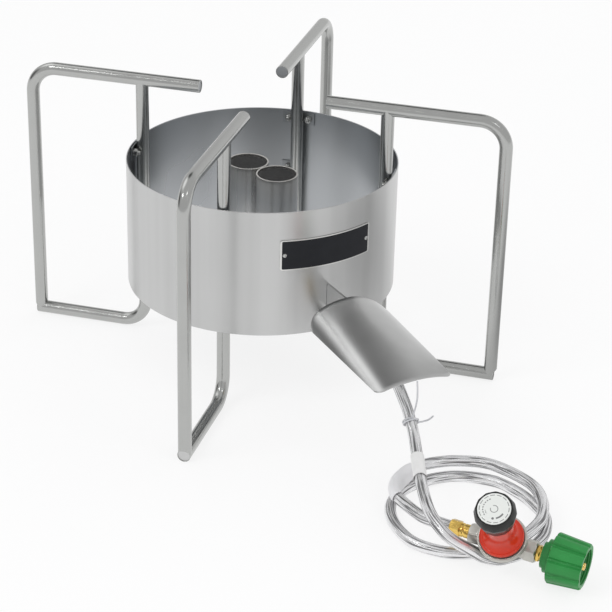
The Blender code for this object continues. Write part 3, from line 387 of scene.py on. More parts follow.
def woven_braid():
    """Steel wires woven over rubber, drawn along the hose's own map: u round it, v in metres along it."""
    made = Finish("woven_braid", finishes().braid, 0.8, 0.3)
    pitch = sizes().braid_pitch
    spot = made.own_map()
    carriers = round(math.tau * HOSE_RADIUS / pitch)
    about = made.math("MULTIPLY", spot.outputs[0], carriers)
    along = made.math("DIVIDE", spot.outputs[1], pitch)
    first = made.math("ADD", about, along)
    second = made.math("SUBTRACT", about, along)
    cells = made.math("ADD", made.math("FLOOR", first), made.math("FLOOR", second))
    over = made.math("PINGPONG", cells, 1.0)

    def wave(value, rate):
        return made.math("ABSOLUTE", made.math("SINE", made.math("MULTIPLY", value, rate)))

    def strand(across, lengthwise):
        """Height of one band of wires, rounded across, ridged by its wires and bowed along."""
        crown, wires, bow = wave(across, math.pi), wave(across, math.pi * 4), wave(lengthwise, math.pi)
        body = made.math("MULTIPLY", made.math("POWER", crown, 0.4), made.math("MULTIPLY_ADD", bow, 0.4, 0.6))
        return made.math("MULTIPLY", body, made.math("MULTIPLY_ADD", wires, 0.35, 0.65))

    left = strand(first, second)
    right = strand(second, first)
    height = made.math("ADD", made.math("MULTIPLY", left, over),
                       made.math("MULTIPLY", right, made.math("SUBTRACT", 1.0, over)))
    # painted shade and highlight: the weave's low gaps go dark grey and its crests lighter
    weave_painted_shading = made.mix(made.spread(height, 0.1, 0.6), (0.42, 0.42, 0.425, 1.0), made.shade(height, 0.97, 1.1))
    # painted reflection: dark streaks running along the hose stand for the braid's reflected lines
    turned = made.math("MULTIPLY", spot.outputs[0], math.tau)
    around = made.node("ShaderNodeCombineXYZ", {
        "X": made.math("COSINE", turned), "Y": made.math("SINE", turned),
        "Z": made.math("MULTIPLY", spot.outputs[1], 6.0)}).outputs["Vector"]
    painted_reflection_streak = made.spread(made.noise(4.2, around, 1.0, 0.5), 0.40, 0.50)
    made.set("Base Color", made.mix(painted_reflection_streak, (0.22, 0.22, 0.225, 1.0), weave_painted_shading))
    made.set("Roughness", made.spread(height, 0.0, 1.0, 0.42, 0.22))
    made.set("Normal", made.bump(height, 0.0002, 0.5))
    return made.material


def gloss_enamel():
    """Sprayed enamel with a faint orange peel."""
    made = Finish("gloss_enamel", finishes().enamel, 0.0, 0.22, Coat_Weight=0.15, Coat_Roughness=0.06,
                  Specular_IOR_Level=0.32)
    peel = made.noise(240.0, made.place(), 2.0)
    cloud = made.noise(30.0, made.place(), 2.0)
    made.set("Base Color", made.shade(cloud, 0.9, 1.12))
    made.set("Normal", made.bump(peel, 0.00008, 0.25))
    return made.material


def moulded(name, colour, grain=520.0, roughness=0.38):
    """Moulded plastic with a fine spark-eroded grain and rubbed patches."""
    made = Finish(name, colour, 0.0, roughness, Specular_IOR_Level=0.35)
    fine = made.noise(grain, made.place(), 3.0)
    rub = made.noise(26.0, made.place(), 3.0)
    made.set("Base Color", made.shade(made.spread(rub, 0.3, 0.7), 0.86, 1.16))
    made.set("Roughness", made.spread(rub, 0.3, 0.7, roughness - 0.08, roughness + 0.12))
    made.set("Normal", made.bump(fine, 0.00008, 0.35))
    return made.material


def thin_film(name, colour):
    """Creased plastic film, darker in the hollows of its creases and lighter on their ridges as painted
    shade.
    """
    made = Finish(name, colour, 0.0, 0.35)
    crease = made.noise(95.0, made.place(), 3.0)
    # painted shade: the colour follows the crease heights, darker in their hollows
    made.set("Base Color", made.shade(crease, 0.94, 1.04))
    made.set("Normal", made.bump(crease, 0.0008, 0.35))
    return made.material


def nameplate_finish():
    """A dark field with rounded corners inside a bare metal edge, by the plate's own map in metres."""
    made = Finish("nameplate_finish", finishes().plate, 0.0, 0.3)
    spot = made.own_map()
    half = (0.0600, 0.0190)
    edge, corner = 0.0012, 0.0016
    reach = []
    for axis in range(2):
        out = made.math("SUBTRACT", made.math("ABSOLUTE", spot.outputs[axis]), half[axis] - edge - corner)
        reach.append(made.math("POWER", made.math("MAXIMUM", out, 0.0), 2.0))
    outside = made.math("SUBTRACT", made.math("SQRT", made.math("ADD", *reach)), corner)
    field = made.spread(outside, 0.0001, -0.0001)
    dark = made.shade(made.noise(60.0, made.place()), 0.85, 1.2)
    made.set("Base Color", made.mix(field, (0.72, 0.72, 0.70, 1.0), dark))
    made.set("Metallic", made.spread(field, 0.0, 1.0, 0.9, 0.0))
    made.set("Specular IOR Level", 0.12)
    made.set("Roughness", made.spread(field, 0.0, 1.0, 0.28, 0.45))
    made.set("Normal", made.bump(field, 0.0001, 0.5))
    return made.material


def dial_print():
    """A pale disc with plain dashes round it, a turning arc and a hub ring, by its own map from -1 to 1."""
    made = Finish("dial_print", finishes().dial, 0.0, 0.42)
    spot = made.own_map()
    x, y = spot.outputs[0], spot.outputs[1]
    reach = made.distance(x, y)
    angle = made.math("ARCTAN2", y, x)

    def band(value, low, high, soft=0.012):
        inner = made.spread(value, low - soft, low + soft)
        outer = made.spread(value, high + soft, high - soft)
        return made.math("MULTIPLY", inner, outer)

    def dashes(count, fill, low, high):
        """Dashes round the disc, each filling a share of its place."""
        turn = made.math("FRACT", made.math("MULTIPLY", made.math("ADD", angle, math.pi), count / math.tau))
        return made.math("MULTIPLY", band(turn, 0.5 - fill / 2, 0.5 + fill / 2, 0.04), band(reach, low, high))

    rim = dashes(14, 0.72, 0.86, 0.90)
    left = band(made.math("ABSOLUTE", angle), 2.2, 3.2, 0.01)
    inner_left = made.math("MULTIPLY", dashes(26, 0.6, 0.64, 0.70), left)
    lower_left = made.math("MULTIPLY", dashes(22, 0.6, 0.50, 0.55), band(angle, -2.7, -2.2, 0.01))
    arc = made.math("MULTIPLY", band(angle, -1.05, -0.22, 0.01), band(reach, 0.56, 0.66))
    dot_x, dot_y = made.math("SUBTRACT", x, 0.12), made.math("ADD", y, 0.60)
    near = made.math("ADD", made.math("POWER", dot_x, 2.0), made.math("POWER", dot_y, 2.0))
    dot = made.math("LESS_THAN", near, 0.006)
    hub = made.math("MULTIPLY", band(reach, 0.20, 0.24), made.math("LESS_THAN", angle, 2.2))
    ink = rim
    for mark in (inner_left, lower_left, arc, dot, hub):
        ink = made.math("MAXIMUM", ink, mark)
    made.set("Base Color", made.mix(made.math("MULTIPLY", ink, 0.85), made.colour, (0.045, 0.045, 0.05, 1.0)))
    made.set("Normal", made.bump(made.noise(300.0, made.place()), 0.00005, 0.3))
    return made.material


def black_rubber():
    return moulded("black_rubber", (0.02, 0.02, 0.02), 300.0, 0.6)


def weld_steel():
    """Rippled weld metal, a little browned."""
    made = Finish("weld_bead", (0.50, 0.49, 0.475), 1.0, 0.32)
    made.set("Base Color", made.shade(made.noise(420.0, made.place()), 0.75, 1.15))
    return made.material


finish_makers = {
    "polished": polished_steel,
    # inside: how dark the inner wall is painted, as painted shade; the shroud's grain stretches the painted
    # reflection bands upright
    "shroud": lambda: satin_sheet("satin_shroud", (38, 38, 1.2), inside=0.80),
    "sheet": lambda: satin_sheet("satin_sheet", (22, 22, 22), inside=0.70),
    "burner": burner_steel,
    "screen": screen_steel,
    "zinc": cast_zinc,
    "brass": machined_brass,
    "braid": woven_braid,
    "enamel": gloss_enamel,
    "knob": lambda: moulded("knob_plastic", finishes().knob, 520.0, 0.28),
    "dial": dial_print,
    "nylon": lambda: moulded("green_nylon", finishes().nylon, 380.0, 0.36),
    "film": lambda: thin_film("white_film", finishes().film),
    "label": lambda: thin_film("label_film", (0.80, 0.80, 0.81)),
    "tie": lambda: thin_film("tie_film", (0.62, 0.63, 0.65)),
    "plate": nameplate_finish,
    "rubber": black_rubber,
    "weld": weld_steel,
}


@functools.cache
def finish(name):
    return finish_makers[name]()


# ---------------------------------------------------------------- forms

def to_mesh(name, bm):
    mesh = bpy.data.meshes.new(name)
    bm.to_mesh(mesh)
    bm.free()
    return mesh


def loose(name, mesh):
    """An object in the scene that isn't a piece."""
    made = bpy.data.objects.new(name, mesh)
    bpy.context.scene.collection.objects.link(made)
    return made


def to_piece(name, bm, finish_names, body, matrix=None, sharp=32.0, nodes=()):
    """A mesh object at the origin, on its body, standing for CAD nodes."""
    if matrix is not None:
        bmesh.ops.transform(bm, matrix=matrix, verts=bm.verts)
    return mesh_piece(name, to_mesh(name, bm), finish_names, body, sharp, nodes)


def mesh_piece(name, mesh, finish_names, body, sharp=32.0, nodes=()):
    for finish_name in (finish_names if isinstance(finish_names, list) else [finish_names]):
        mesh.materials.append(finish(finish_name))
    mesh.shade_smooth()
    mesh.set_sharp_from_angle(angle=math.radians(sharp))
    piece = loose(name, mesh)
    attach(piece, body)
    if nodes:
        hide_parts(*nodes)
    return piece


def skin(bm, rings, closed=False, caps=True, material=0):
    """Faces between rings of points, outward when the rings turn right-handed along the skin's way."""
    rows = [[bm.verts.new(point) for point in ring] for ring in rings]
    pairs = list(zip(rows, rows[1:]))
    if closed:
        pairs.append((rows[-1], rows[0]))
    faces = []
    for low, high in pairs:
        for i in range(len(low)):
            j = (i + 1) % len(low)
            faces.append(bm.faces.new((low[i], low[j], high[j], high[i])))
    if caps and not closed:
        faces.append(bm.faces.new(list(reversed(rows[0]))))
        faces.append(bm.faces.new(rows[-1]))
    for face in faces:
        face.material_index = material
    return faces


def ring(radius, height, sides):
    turns = [math.tau * i / sides for i in range(sides)]
    return [Vector((radius * math.cos(turn), radius * math.sin(turn), height)) for turn in turns]


def rounded(profile, radius, steps=3):
    """A profile of (radius, height) points with its corners eased."""
    points = [Vector(p) for p in profile]
    found = [points[0]]
    for before, here, after in zip(points, points[1:], points[2:]):
        into, out = before - here, after - here
        cut = min(radius, into.length * 0.45, out.length * 0.45)
        a = here + into.normalized() * cut
        b = here + out.normalized() * cut
        for i in range(steps + 1):
            t = i / steps
            found.append(a * (1 - t) ** 2 + here * 2 * t * (1 - t) + b * t**2)
    found.append(points[-1])
    return [(p.x, p.y) for p in found]


def placed_skin(bm, rings, matrix, closed=False):
    """A skin moved by a matrix, while what the mesh already holds stays."""
    before = set(bm.verts)
    skin(bm, rings, closed=closed)
    if matrix is not None:
        bmesh.ops.transform(bm, matrix=matrix, verts=[v for v in bm.verts if v not in before])


def lathe(bm, profile, sides=48, matrix=None, closed=False):
    """A turned form about Z, from (radius, height) points that climb on its outside."""
    placed_skin(bm, [ring(radius, height, sides) for radius, height in profile], matrix, closed)


def from_flat(angle, count):
    """An angle's distance from the middle of the nearest of a polygon's flats."""
    return (angle + math.pi / count) % (math.tau / count) - math.pi / count


def hex_form(bm, flats, bottom, top, matrix=None, sides=48):
    """A hexagon with turned chamfers on its corners."""
    def outline(limit, height):
        found = []
        for i in range(sides):
            angle = math.tau * i / sides
            reach = min(flats / 2 / math.cos(from_flat(angle, 6)), limit)
            found.append(Vector((reach * math.cos(angle), reach * math.sin(angle), height)))
        return found

    low, high = flats / 2 * 0.985, flats / 2 / math.cos(math.pi / 6)
    placed_skin(bm, [outline(low, bottom), outline(high, bottom + HEX_CHAMFER),
                     outline(high, top - HEX_CHAMFER), outline(low, top)], matrix)


def turned_piece(name, profile, sides, look, place, sharp, nodes, closed=False):
    """A piece of the stand that is one turned form."""
    bm = bmesh.new()
    lathe(bm, profile, sides, closed=closed)
    facing_out(bm)
    to_piece(name, bm, look, "stand", place, sharp, nodes)


def brass_fitting(name, node, place, hexagon, profile, ease=0.0003, sides=40, sharp=25.0):
    """A hexagon, given by its flats, bottom and top, with a turned part on it."""
    bm = bmesh.new()
    hex_form(bm, *hexagon)
    lathe(bm, rounded(profile, ease, 2), sides)
    facing_out(bm)
    to_piece(name, bm, "brass", "stand", place, sharp, [node])


def route_frames(points):
    """Place, side and up along a route, turned as little as it allows."""
    found = []
    side = None
    for i, point in enumerate(points):
        ahead = (points[min(i + 1, len(points) - 1)] - points[max(i - 1, 0)]).normalized()
        if side is None:
            side = ahead.cross(Vector((0, 0, 1)))
            if side.length < 0.1:
                side = ahead.cross(Vector((0, 1, 0)))
        side = (side - ahead * side.dot(ahead)).normalized()
        found.append((point, side, side.cross(ahead).normalized()))
    return found


def tube_rings(points, radius, sides):
    """Rings of a round bar along a route; radius may be a function of the place along it and round it."""
    found = []
    for k, (centre, side, up) in enumerate(route_frames(points)):
        share = k / (len(points) - 1)
        line = []
        for i in range(sides):
            angle = math.tau * i / sides
            reach = radius(share, angle) if callable(radius) else radius
            line.append(centre + side * reach * math.cos(angle) + up * reach * math.sin(angle))
        found.append(line)
    return found


def sheet_faces(bm, rows, order=1):
    """Four-sided faces between the vertices of neighbouring rows."""
    for a, b in zip(rows, rows[1:]):
        for i in range(len(a) - 1):
            bm.faces.new((a[i], b[i], b[i + 1], a[i + 1])[::order])


def lay_map(bm, uv, spot):
    """Gives each corner of a face its place on the piece's own map."""
    for face in bm.faces:
        for loop in face.loops:
            loop[uv].uv = spot(loop.vert.co)


def facing_out(bm):
    """Merged doubles and faces turned outward."""
    bmesh.ops.remove_doubles(bm, verts=bm.verts, dist=1e-6)
    bmesh.ops.recalc_face_normals(bm, faces=bm.faces)


def smooth_route(points, step):
    """A smooth curve through all but the first and last of a route's points, at even steps."""
    padded = [Vector(p) for p in points]
    fine = []
    for a, b, c, d in zip(padded, padded[1:], padded[2:], padded[3:]):
        for i in range(24):
            t = i / 24
            fine.append(
                0.5 * (2 * b + (c - a) * t + (2 * a - 5 * b + 4 * c - d) * t * t
                       + (3 * b - a - 3 * c + d) * t**3)
            )
    fine.append(padded[-2])
    runs = [0.0]
    for p, q in zip(fine, fine[1:]):
        runs.append(runs[-1] + (q - p).length)
    count = max(2, round(runs[-1] / step))
    found, k = [], 0
    for i in range(count + 1):
        wanted = runs[-1] * i / count
        while k < len(runs) - 2 and runs[k + 1] < wanted:
            k += 1
        share = (wanted - runs[k]) / max(1e-12, runs[k + 1] - runs[k])
        found.append(fine[k].lerp(fine[k + 1], min(1.0, share)))
    return found


def without_modifiers(made):
    """The evaluated mesh of an object, whose modifiers and the object itself then go."""
    bpy.context.view_layer.update()
    graph = bpy.context.evaluated_depsgraph_get()
    mesh = bpy.data.meshes.new_from_object(made.evaluated_get(graph), depsgraph=graph)
    mesh.materials.clear()
    bpy.data.objects.remove(made)
    return mesh


def eased(made, width, angle):
    """Rounds the sharp edges of an object."""
    ease = made.modifiers.new("edge", "BEVEL")
    ease.width, ease.segments, ease.limit_method, ease.angle_limit = width, 2, "ANGLE", math.radians(angle)


def walled(made, thickness, offset):
    """Gives a sheet its thickness."""
    wall = made.modifiers.new("sheet", "SOLIDIFY")
    wall.thickness, wall.offset = thickness, offset


# ---------------------------------------------------------------- nodes that repeat things

class Tree:
    """A Geometry Nodes tree that ends in Realize Instances and Set Material."""

    def __init__(self, name, **inputs):
        self.tree = bpy.data.node_groups.new(name, "GeometryNodeTree")
        self.tree.interface.new_socket("Geometry", in_out="INPUT", socket_type="NodeSocketGeometry")
        self.tree.interface.new_socket("Geometry", in_out="OUTPUT", socket_type="NodeSocketGeometry")
        self.identifiers = {}
        self.values = inputs
        for key, value in inputs.items():
            kind = "NodeSocketInt" if isinstance(value, int) else "NodeSocketFloat"
            socket = self.tree.interface.new_socket(key, in_out="INPUT", socket_type=kind)
            socket.default_value = value
            self.identifiers[key] = socket.identifier
        self.start = self.tree.nodes.new("NodeGroupInput")
        self.end = self.tree.nodes.new("NodeGroupOutput")

    def node(self, kind, values=(), **settings):
        return add_node(self.tree, kind, values, **settings)

    def given(self, key):
        return self.start.outputs[key]

    def math(self, operation, *values):
        return self.node("ShaderNodeMath", enumerate(values), operation=operation).outputs[0]

    def join(self, *parts):
        made = self.tree.nodes.new("GeometryNodeJoinGeometry")
        for part in parts:
            self.tree.links.new(part, made.inputs["Geometry"])
        return made.outputs["Geometry"]

    def realised(self, geometry, finish_name):
        real = self.node("GeometryNodeRealizeInstances", {"Geometry": geometry}).outputs["Geometry"]
        painted = self.node("GeometryNodeSetMaterial", {"Geometry": real, "Material": finish(finish_name)})
        self.tree.links.new(painted.outputs["Geometry"], self.end.inputs["Geometry"])

    def mesh(self, carrier):
        """Runs the tree on an object and gives the plain mesh."""
        modifier = carrier.modifiers.new("repeat", "NODES")
        modifier.node_group = self.tree
        for key, value in self.values.items():
            modifier[self.identifiers[key]] = value
        return without_modifiers(carrier)


def points_facing(name, places):
    """Loose vertices, each with the direction it faces as an attribute."""
    mesh = bpy.data.meshes.new(name)
    mesh.from_pydata([tuple(spot) for spot, _ in places], [], [])
    facing = mesh.attributes.new("facing", "FLOAT_VECTOR", "POINT")
    for i, (_, direction) in enumerate(places):
        facing.data[i].vector = direction
    return loose(name, mesh)


def instanced(tree, instance):
    """Instances on the given points, Z along the facing attribute."""
    facing = tree.node("GeometryNodeInputNamedAttribute", {"Name": "facing"}, data_type="FLOAT_VECTOR")
    turn = tree.node("FunctionNodeAlignRotationToVector", {"Vector": facing.outputs["Attribute"]}, axis="Z")
    return tree.node("GeometryNodeInstanceOnPoints", {
        "Points": tree.given("Geometry"), "Instance": instance, "Rotation": turn.outputs["Rotation"],
    }).outputs["Instances"]


def nut_tree():
    """A hexagon nut on its washer, with the stud's tip through it."""
    tree = Tree("shroud_nut", Flats=sizes().nut_flats, Height=0.0036, Stud=0.0025)
    corner = tree.math("DIVIDE", tree.given("Flats"), math.sqrt(3))

    def cylinder(sides, radius, depth, middle, top=None):
        made = tree.node("GeometryNodeMeshCone", {
            "Vertices": sides, "Radius Top": radius if top is None else top, "Radius Bottom": radius,
            "Depth": depth})
        moved = tree.node("ShaderNodeCombineXYZ", {"Z": middle})
        return tree.node("GeometryNodeTransform", {
            "Geometry": made.outputs["Mesh"], "Translation": moved.outputs["Vector"]}).outputs["Geometry"]

    washer = cylinder(28, tree.math("MULTIPLY", corner, 0.98), 0.0007, 0.0)
    body = cylinder(6, corner, tree.given("Height"), 0.0007)
    crown = cylinder(24, tree.math("MULTIPLY", corner, 0.84), 0.0004,
                     tree.math("ADD", tree.given("Height"), 0.0007), tree.math("MULTIPLY", corner, 0.72))
    stud = cylinder(16, tree.given("Stud"), 0.0030, tree.math("ADD", tree.given("Height"), 0.0009))
    tip = cylinder(16, tree.given("Stud"), 0.0006, tree.math("ADD", tree.given("Height"), 0.0039),
                   tree.math("MULTIPLY", tree.given("Stud"), 0.7))
    tree.realised(instanced(tree, tree.join(washer, body, crown, stud, tip)), "polished")
    return tree


def rivet_tree():
    """A low domed rivet head."""
    tree = Tree("plate_rivet", Radius=sizes().rivet_radius, Rise=0.0011)
    ball = tree.node("GeometryNodeMeshUVSphere", {
        "Segments": 20, "Rings": 10, "Radius": tree.given("Radius")})
    flat = tree.node("ShaderNodeCombineXYZ", {
        "X": 1.0, "Y": 1.0, "Z": tree.math("DIVIDE", tree.given("Rise"), tree.given("Radius"))})
    low = tree.node("GeometryNodeTransform", {
        "Geometry": ball.outputs["Mesh"], "Scale": flat.outputs["Vector"]})
    tree.realised(instanced(tree, low.outputs["Geometry"]), "polished")
    return tree


def screen_tree(radius):
    """Wires both ways across a round mouth."""
    tree = Tree("flame_wires", Pitch=sizes().screen_pitch, Wire=0.00026, Radius=radius)
    across = tree.math("MULTIPLY", tree.given("Radius"), 2.0)
    count = tree.math("ADD", tree.math("ROUND", tree.math("DIVIDE", across, tree.given("Pitch"))), 1.0)
    grid = tree.node("GeometryNodeMeshGrid", {
        "Size X": across, "Size Y": across, "Vertices X": count, "Vertices Y": count})
    spot = tree.node("GeometryNodeInputPosition")
    reach = tree.node(
        "ShaderNodeVectorMath", {0: spot.outputs["Position"]}, operation="LENGTH"
    ).outputs["Value"]
    outside = tree.node("FunctionNodeCompare", {0: reach, 1: tree.given("Radius")}, data_type="FLOAT",
                        operation="GREATER_THAN")
    kept = tree.node("GeometryNodeDeleteGeometry", {"Geometry": grid.outputs["Mesh"],
                                                    "Selection": outside.outputs["Result"]}, domain="POINT")
    lines = tree.node("GeometryNodeMeshToCurve", {"Mesh": kept.outputs["Geometry"]})
    section = tree.node("GeometryNodeCurvePrimitiveCircle", {"Resolution": 5, "Radius": tree.given("Wire")})
    wires = tree.node("GeometryNodeCurveToMesh", {"Curve": lines.outputs["Curve"],
                                                  "Profile Curve": section.outputs["Curve"]})
    tree.realised(wires.outputs["Mesh"], "screen")
    return tree


# ---------------------------------------------------------------- pieces

class BURNER_OT_legs(bpy.types.Operator):
    """Bent and coped leg tubes with plugged ends and weld beads"""

    bl_idname = "burner.legs"
    bl_label = "Legs"

    def execute(self, context):
        radius, sides = sizes().tube_radius, sizes().tube_sides

        def arc(centre, reach, start, end, steps=14):
            return [Vector((centre[0] + reach * math.cos(math.radians(start + (end - start) * i / steps)), 0,
                            centre[1] + reach * math.sin(math.radians(start + (end - start) * i / steps))))
                    for i in range(steps + 1)]

        upper_bend = (OUTER_UPRIGHT - UPPER_BEND, UPPER_HEIGHT - UPPER_BEND)
        lower_bend = (INNER_UPRIGHT + LOWER_BEND, radius + LOWER_BEND)
        joint = radius * 2
        upper = [Vector((UPPER_END, 0, UPPER_HEIGHT)), *arc(upper_bend, UPPER_BEND, 90, 0),
                 Vector((OUTER_UPRIGHT, 0, joint))]
        lower = [Vector((LOWER_END, 0, radius)), *arc(lower_bend, LOWER_BEND, 270, 180),
                 Vector((INNER_UPRIGHT, 0, UPPER_HEIGHT - radius))]
        for side_name, azimuth in LEGS.items():
            bm = bmesh.new()
            for points, other, sign in ((upper, radius, 1), (lower, UPPER_HEIGHT, -1)):
                rings = tube_rings(points, radius, sides)
                for p in rings[-1]:
                    p.z = other + sign * (math.sqrt(max(0.0, radius**2 - p.y**2)) - 0.0003)
                start = points[0]
                inward = (points[1] - start).normalized()
                lip = [start + (p - start) * CAP_REACH for p in rings[0]]
                seat = [p + inward * CAP_DEPTH for p in lip]
                skin(bm, [seat, lip, *rings], caps=False)
                cap = bm.faces.new([bm.verts.new(p) for p in reversed(seat)])
                cap.material_index = 1
                middle_x = points[-1].x
                weld, sunk = [], radius - WELD_SUNK
                for i in range(64):
                    angle = math.tau * i / 64
                    y = sunk * math.sin(angle)
                    weld.append(Vector((middle_x + sunk * math.cos(angle), y,
                                        other + sign * math.sqrt(max(0.0, radius**2 - y**2)))))
                self.bead(bm, weld)
            facing_out(bm)
            to_piece(f"leg_{side_name}", bm, ["polished", "sheet", "weld"], "stand",
                     Matrix.Rotation(azimuth, 4, "Z"),
                     nodes=[f"leg_{side_name}_upper_tube", f"leg_{side_name}_lower_tube"])
        return {"FINISHED"}

    def bead(self, bm, path):
        """A rippled weld bead along a closed path."""
        reach, count = sizes().weld_radius, len(path)
        rings = []
        for i, centre in enumerate(path):
            ahead = (path[(i + 1) % count] - path[i - 1]).normalized()
            side = ahead.cross(Vector((0, 0, 1))).normalized()
            up = side.cross(ahead)
            size = reach * (1.0 + 0.12 * math.sin(i * math.pi / 2))
            rings.append([centre + side * size * math.cos(a) + up * size * math.sin(a)
                          for a in (math.tau * k / 8 for k in range(8))])
        skin(bm, rings, closed=True, material=2)


class BURNER_OT_nuts(bpy.types.Operator):
    """Nuts and studs that hold the shroud's straps"""

    bl_idname = "burner.nuts"
    bl_label = "Nuts"

    def execute(self, context):
        places = []
        for azimuth in LEGS.values():
            for side, height in STUDS:
                turn = Matrix.Rotation(azimuth + side / (sizes().shroud_radius - SHROUD_WALL), 3, "Z")
                places.append((turn @ Vector((NUT_SEAT - 0.0004, 0, height)), turn @ Vector((-1, 0, 0))))
        mesh = nut_tree().mesh(points_facing("nut_places", places))
        labels = ("upper_nut_a", "upper_nut_b", "lower_nut")
        mesh_piece("shroud_nuts", mesh, "polished", "stand", 30.0,
                   [f"leg_{side_name}_{label}" for side_name in LEGS for label in labels])
        return {"FINISHED"}


class BURNER_OT_shroud(bpy.types.Operator):
    """Rolled wind shroud with its slot and pipe hole"""

    bl_idname = "burner.shroud"
    bl_label = "Wind shroud"

    def execute(self, context):
        outside = sizes().shroud_radius
        inside = outside - SHROUD_WALL
        ease = 0.0005
        profile = [(inside, SHROUD_BOTTOM + ease), (inside + ease, SHROUD_BOTTOM),
                   (outside - ease, SHROUD_BOTTOM),
                   (outside, SHROUD_BOTTOM + ease), (outside, SHROUD_TOP - ease),
                   (outside - ease, SHROUD_TOP),
                   (inside + ease, SHROUD_TOP), (inside, SHROUD_TOP - ease)]
        bm = bmesh.new()
        lathe(bm, profile, 240, closed=True)
        facing_out(bm)
        shell = loose("shroud_shell", to_mesh("shroud_shell", bm))
        slot_form = bmesh.new()
        bmesh.ops.create_cube(slot_form, size=1.0)
        slot = Matrix.Translation((outside, 0, 0.14375)) @ Matrix.Diagonal((0.02, 0.0037, 0.0292, 1.0))
        bmesh.ops.transform(slot_form, matrix=SUPPLY @ slot, verts=slot_form.verts)
        hole_form = bmesh.new()
        lathe(hole_form, [(0.00755, outside - 0.01), (0.00755, outside + 0.01)], 32, SUPPLY_LINE)
        facing_out(hole_form)
        cutters = [loose(name, to_mesh(name, form))
                   for name, form in (("slot_cutter", slot_form), ("hole_cutter", hole_form))]
        for cutter in cutters:
            modifier = shell.modifiers.new(cutter.name, "BOOLEAN")
            modifier.operation, modifier.solver, modifier.object = "DIFFERENCE", "EXACT", cutter
        mesh = without_modifiers(shell)
        for cutter in cutters:
            bpy.data.objects.remove(cutter)
        mesh_piece("shroud", mesh, "shroud", "stand", 30.0, ["wind_shroud"])
        return {"FINISHED"}


class BURNER_OT_nameplate(bpy.types.Operator):
    """Bare nameplate with a metal edge, and its rivets"""

    bl_idname = "burner.nameplate"
    bl_label = "Nameplate"

    def execute(self, context):
        inside = sizes().shroud_radius + GAP
        outside, half, bottom, top = inside + 0.0009, math.radians(21.0), 0.184, 0.222
        middle, rise = (top + bottom) / 2, (top - bottom) / 2
        steps, rows = 48, 4
        bm = bmesh.new()
        uv = bm.loops.layers.uv.new("plate")
        corner = 0.0030

        def edge(share):
            """Half height of the plate at a share of its half length, with rounded corners."""
            from_end = (1 - abs(share)) * half * outside
            if from_end >= corner:
                return 1.0
            return 1.0 - (corner - math.sqrt(corner**2 - (corner - from_end) ** 2)) / rise

        fronts, backs = [], []
        for i in range(steps + 1):
            share = math.sin(math.pi / 2 * (2 * i / steps - 1))
            angle, tall = half * share, edge(share)
            for reach, store in ((outside, fronts), (inside, backs)):
                store.append([bm.verts.new((reach * math.cos(angle), reach * math.sin(angle),
                                            middle + rise * tall * (2 * k / rows - 1)))
                              for k in range(rows + 1)])
        sheet_faces(bm, fronts)
        sheet_faces(bm, backs, -1)
        for k in (0, rows):
            for i in range(steps):
                face = (fronts[i][k], backs[i][k], backs[i + 1][k], fronts[i + 1][k])
                bm.faces.new(face[::1 if k == 0 else -1])
        for i in (0, steps):
            for k in range(rows):
                face = (fronts[i][k], fronts[i][k + 1], backs[i][k + 1], backs[i][k])
                bm.faces.new(face[::1 if i == 0 else -1])
        lay_map(bm, uv, lambda p: (math.atan2(p.y, p.x) * outside, p.z - middle))
        bmesh.ops.remove_doubles(bm, verts=bm.verts, dist=1e-7)
        to_piece("nameplate_plain", bm, "plate", "stand", SUPPLY, 40.0, ["nameplate"])

        places = []
        for share in (-0.91, 0.91):
            turn = SUPPLY.to_3x3() @ Matrix.Rotation(half * share, 3, "Z")
            places.append((turn @ Vector((outside, 0, middle)), turn @ Vector((1, 0, 0))))
        mesh = rivet_tree().mesh(points_facing("rivet_places", places))
        mesh_piece("nameplate_rivets", mesh, "polished", "stand", 50.0)
        return {"FINISHED"}


class BURNER_OT_burner(bpy.types.Operator):
    """Burner tubes with rolled lips, wire flame screens, jets and the weld seams between the tubes"""

    bl_idname = "burner.burner"
    bl_label = "Burner"

    def execute(self, context):
        bore = BURNER_RADIUS - 0.002
        profile = rounded([(bore, BURNER_BOTTOM + 0.02), (bore, BURNER_BOTTOM),
                           (BURNER_RADIUS, BURNER_BOTTOM), (BURNER_RADIUS, BURNER_TOP - 0.006),
                           (BURNER_RADIUS, BURNER_TOP), (bore, BURNER_TOP),
                           (bore, BURNER_BOTTOM + 0.02)], 0.0007)
        for label, sign in (("right", 1), ("left", -1)):
            middle = Matrix.Translation((sign * BURNER_SPREAD * math.cos(BURNER_TURN),
                                         sign * BURNER_SPREAD * math.sin(BURNER_TURN), 0))
            turned_piece(f"burner_{label}", profile[:-1], 72, "burner", middle, 30.0,
                         [f"burner_tube_{label}"], closed=True)

            carrier = points_facing(f"wires_{label}", [((0, 0, 0), (0, 0, 1))])
            mesh = screen_tree(bore - 0.0008).mesh(carrier)
            mesh.transform(middle @ Matrix.Translation((0, 0, BURNER_TOP - 0.0016)))
            mesh_piece(f"flame_wires_{label}", mesh, "screen", "stand", 40.0)

            brass_fitting(f"jet_{label}", f"gas_jet_{label}", middle, (0.010, 0.12035, 0.1245),
                          [(0.0042, 0.1243), (0.0042, 0.1285), (0.0030, 0.13135), (0.0012, 0.13135),
                           (0.0009, 0.1300)], sides=24, sharp=30.0)
        bm = bmesh.new()
        seam = [Vector((0, 0, z)) for z in (BURNER_BOTTOM + 0.004, BURNER_TOP - 0.004)]
        for side in (-1, 1):
            offset = 0.0031 * side * Vector((math.sin(BURNER_TURN), -math.cos(BURNER_TURN), 0))
            line = [p + offset for p in (seam[0].lerp(seam[1], k / 60) for k in range(61))]
            skin(bm, tube_rings(line, lambda share, angle: 0.0009 * (1 + 0.2 * math.sin(share * 190)), 8))
        facing_out(bm)
        to_piece("burner_seams", bm, "weld", "stand", None, 40.0)
        return {"FINISHED"}


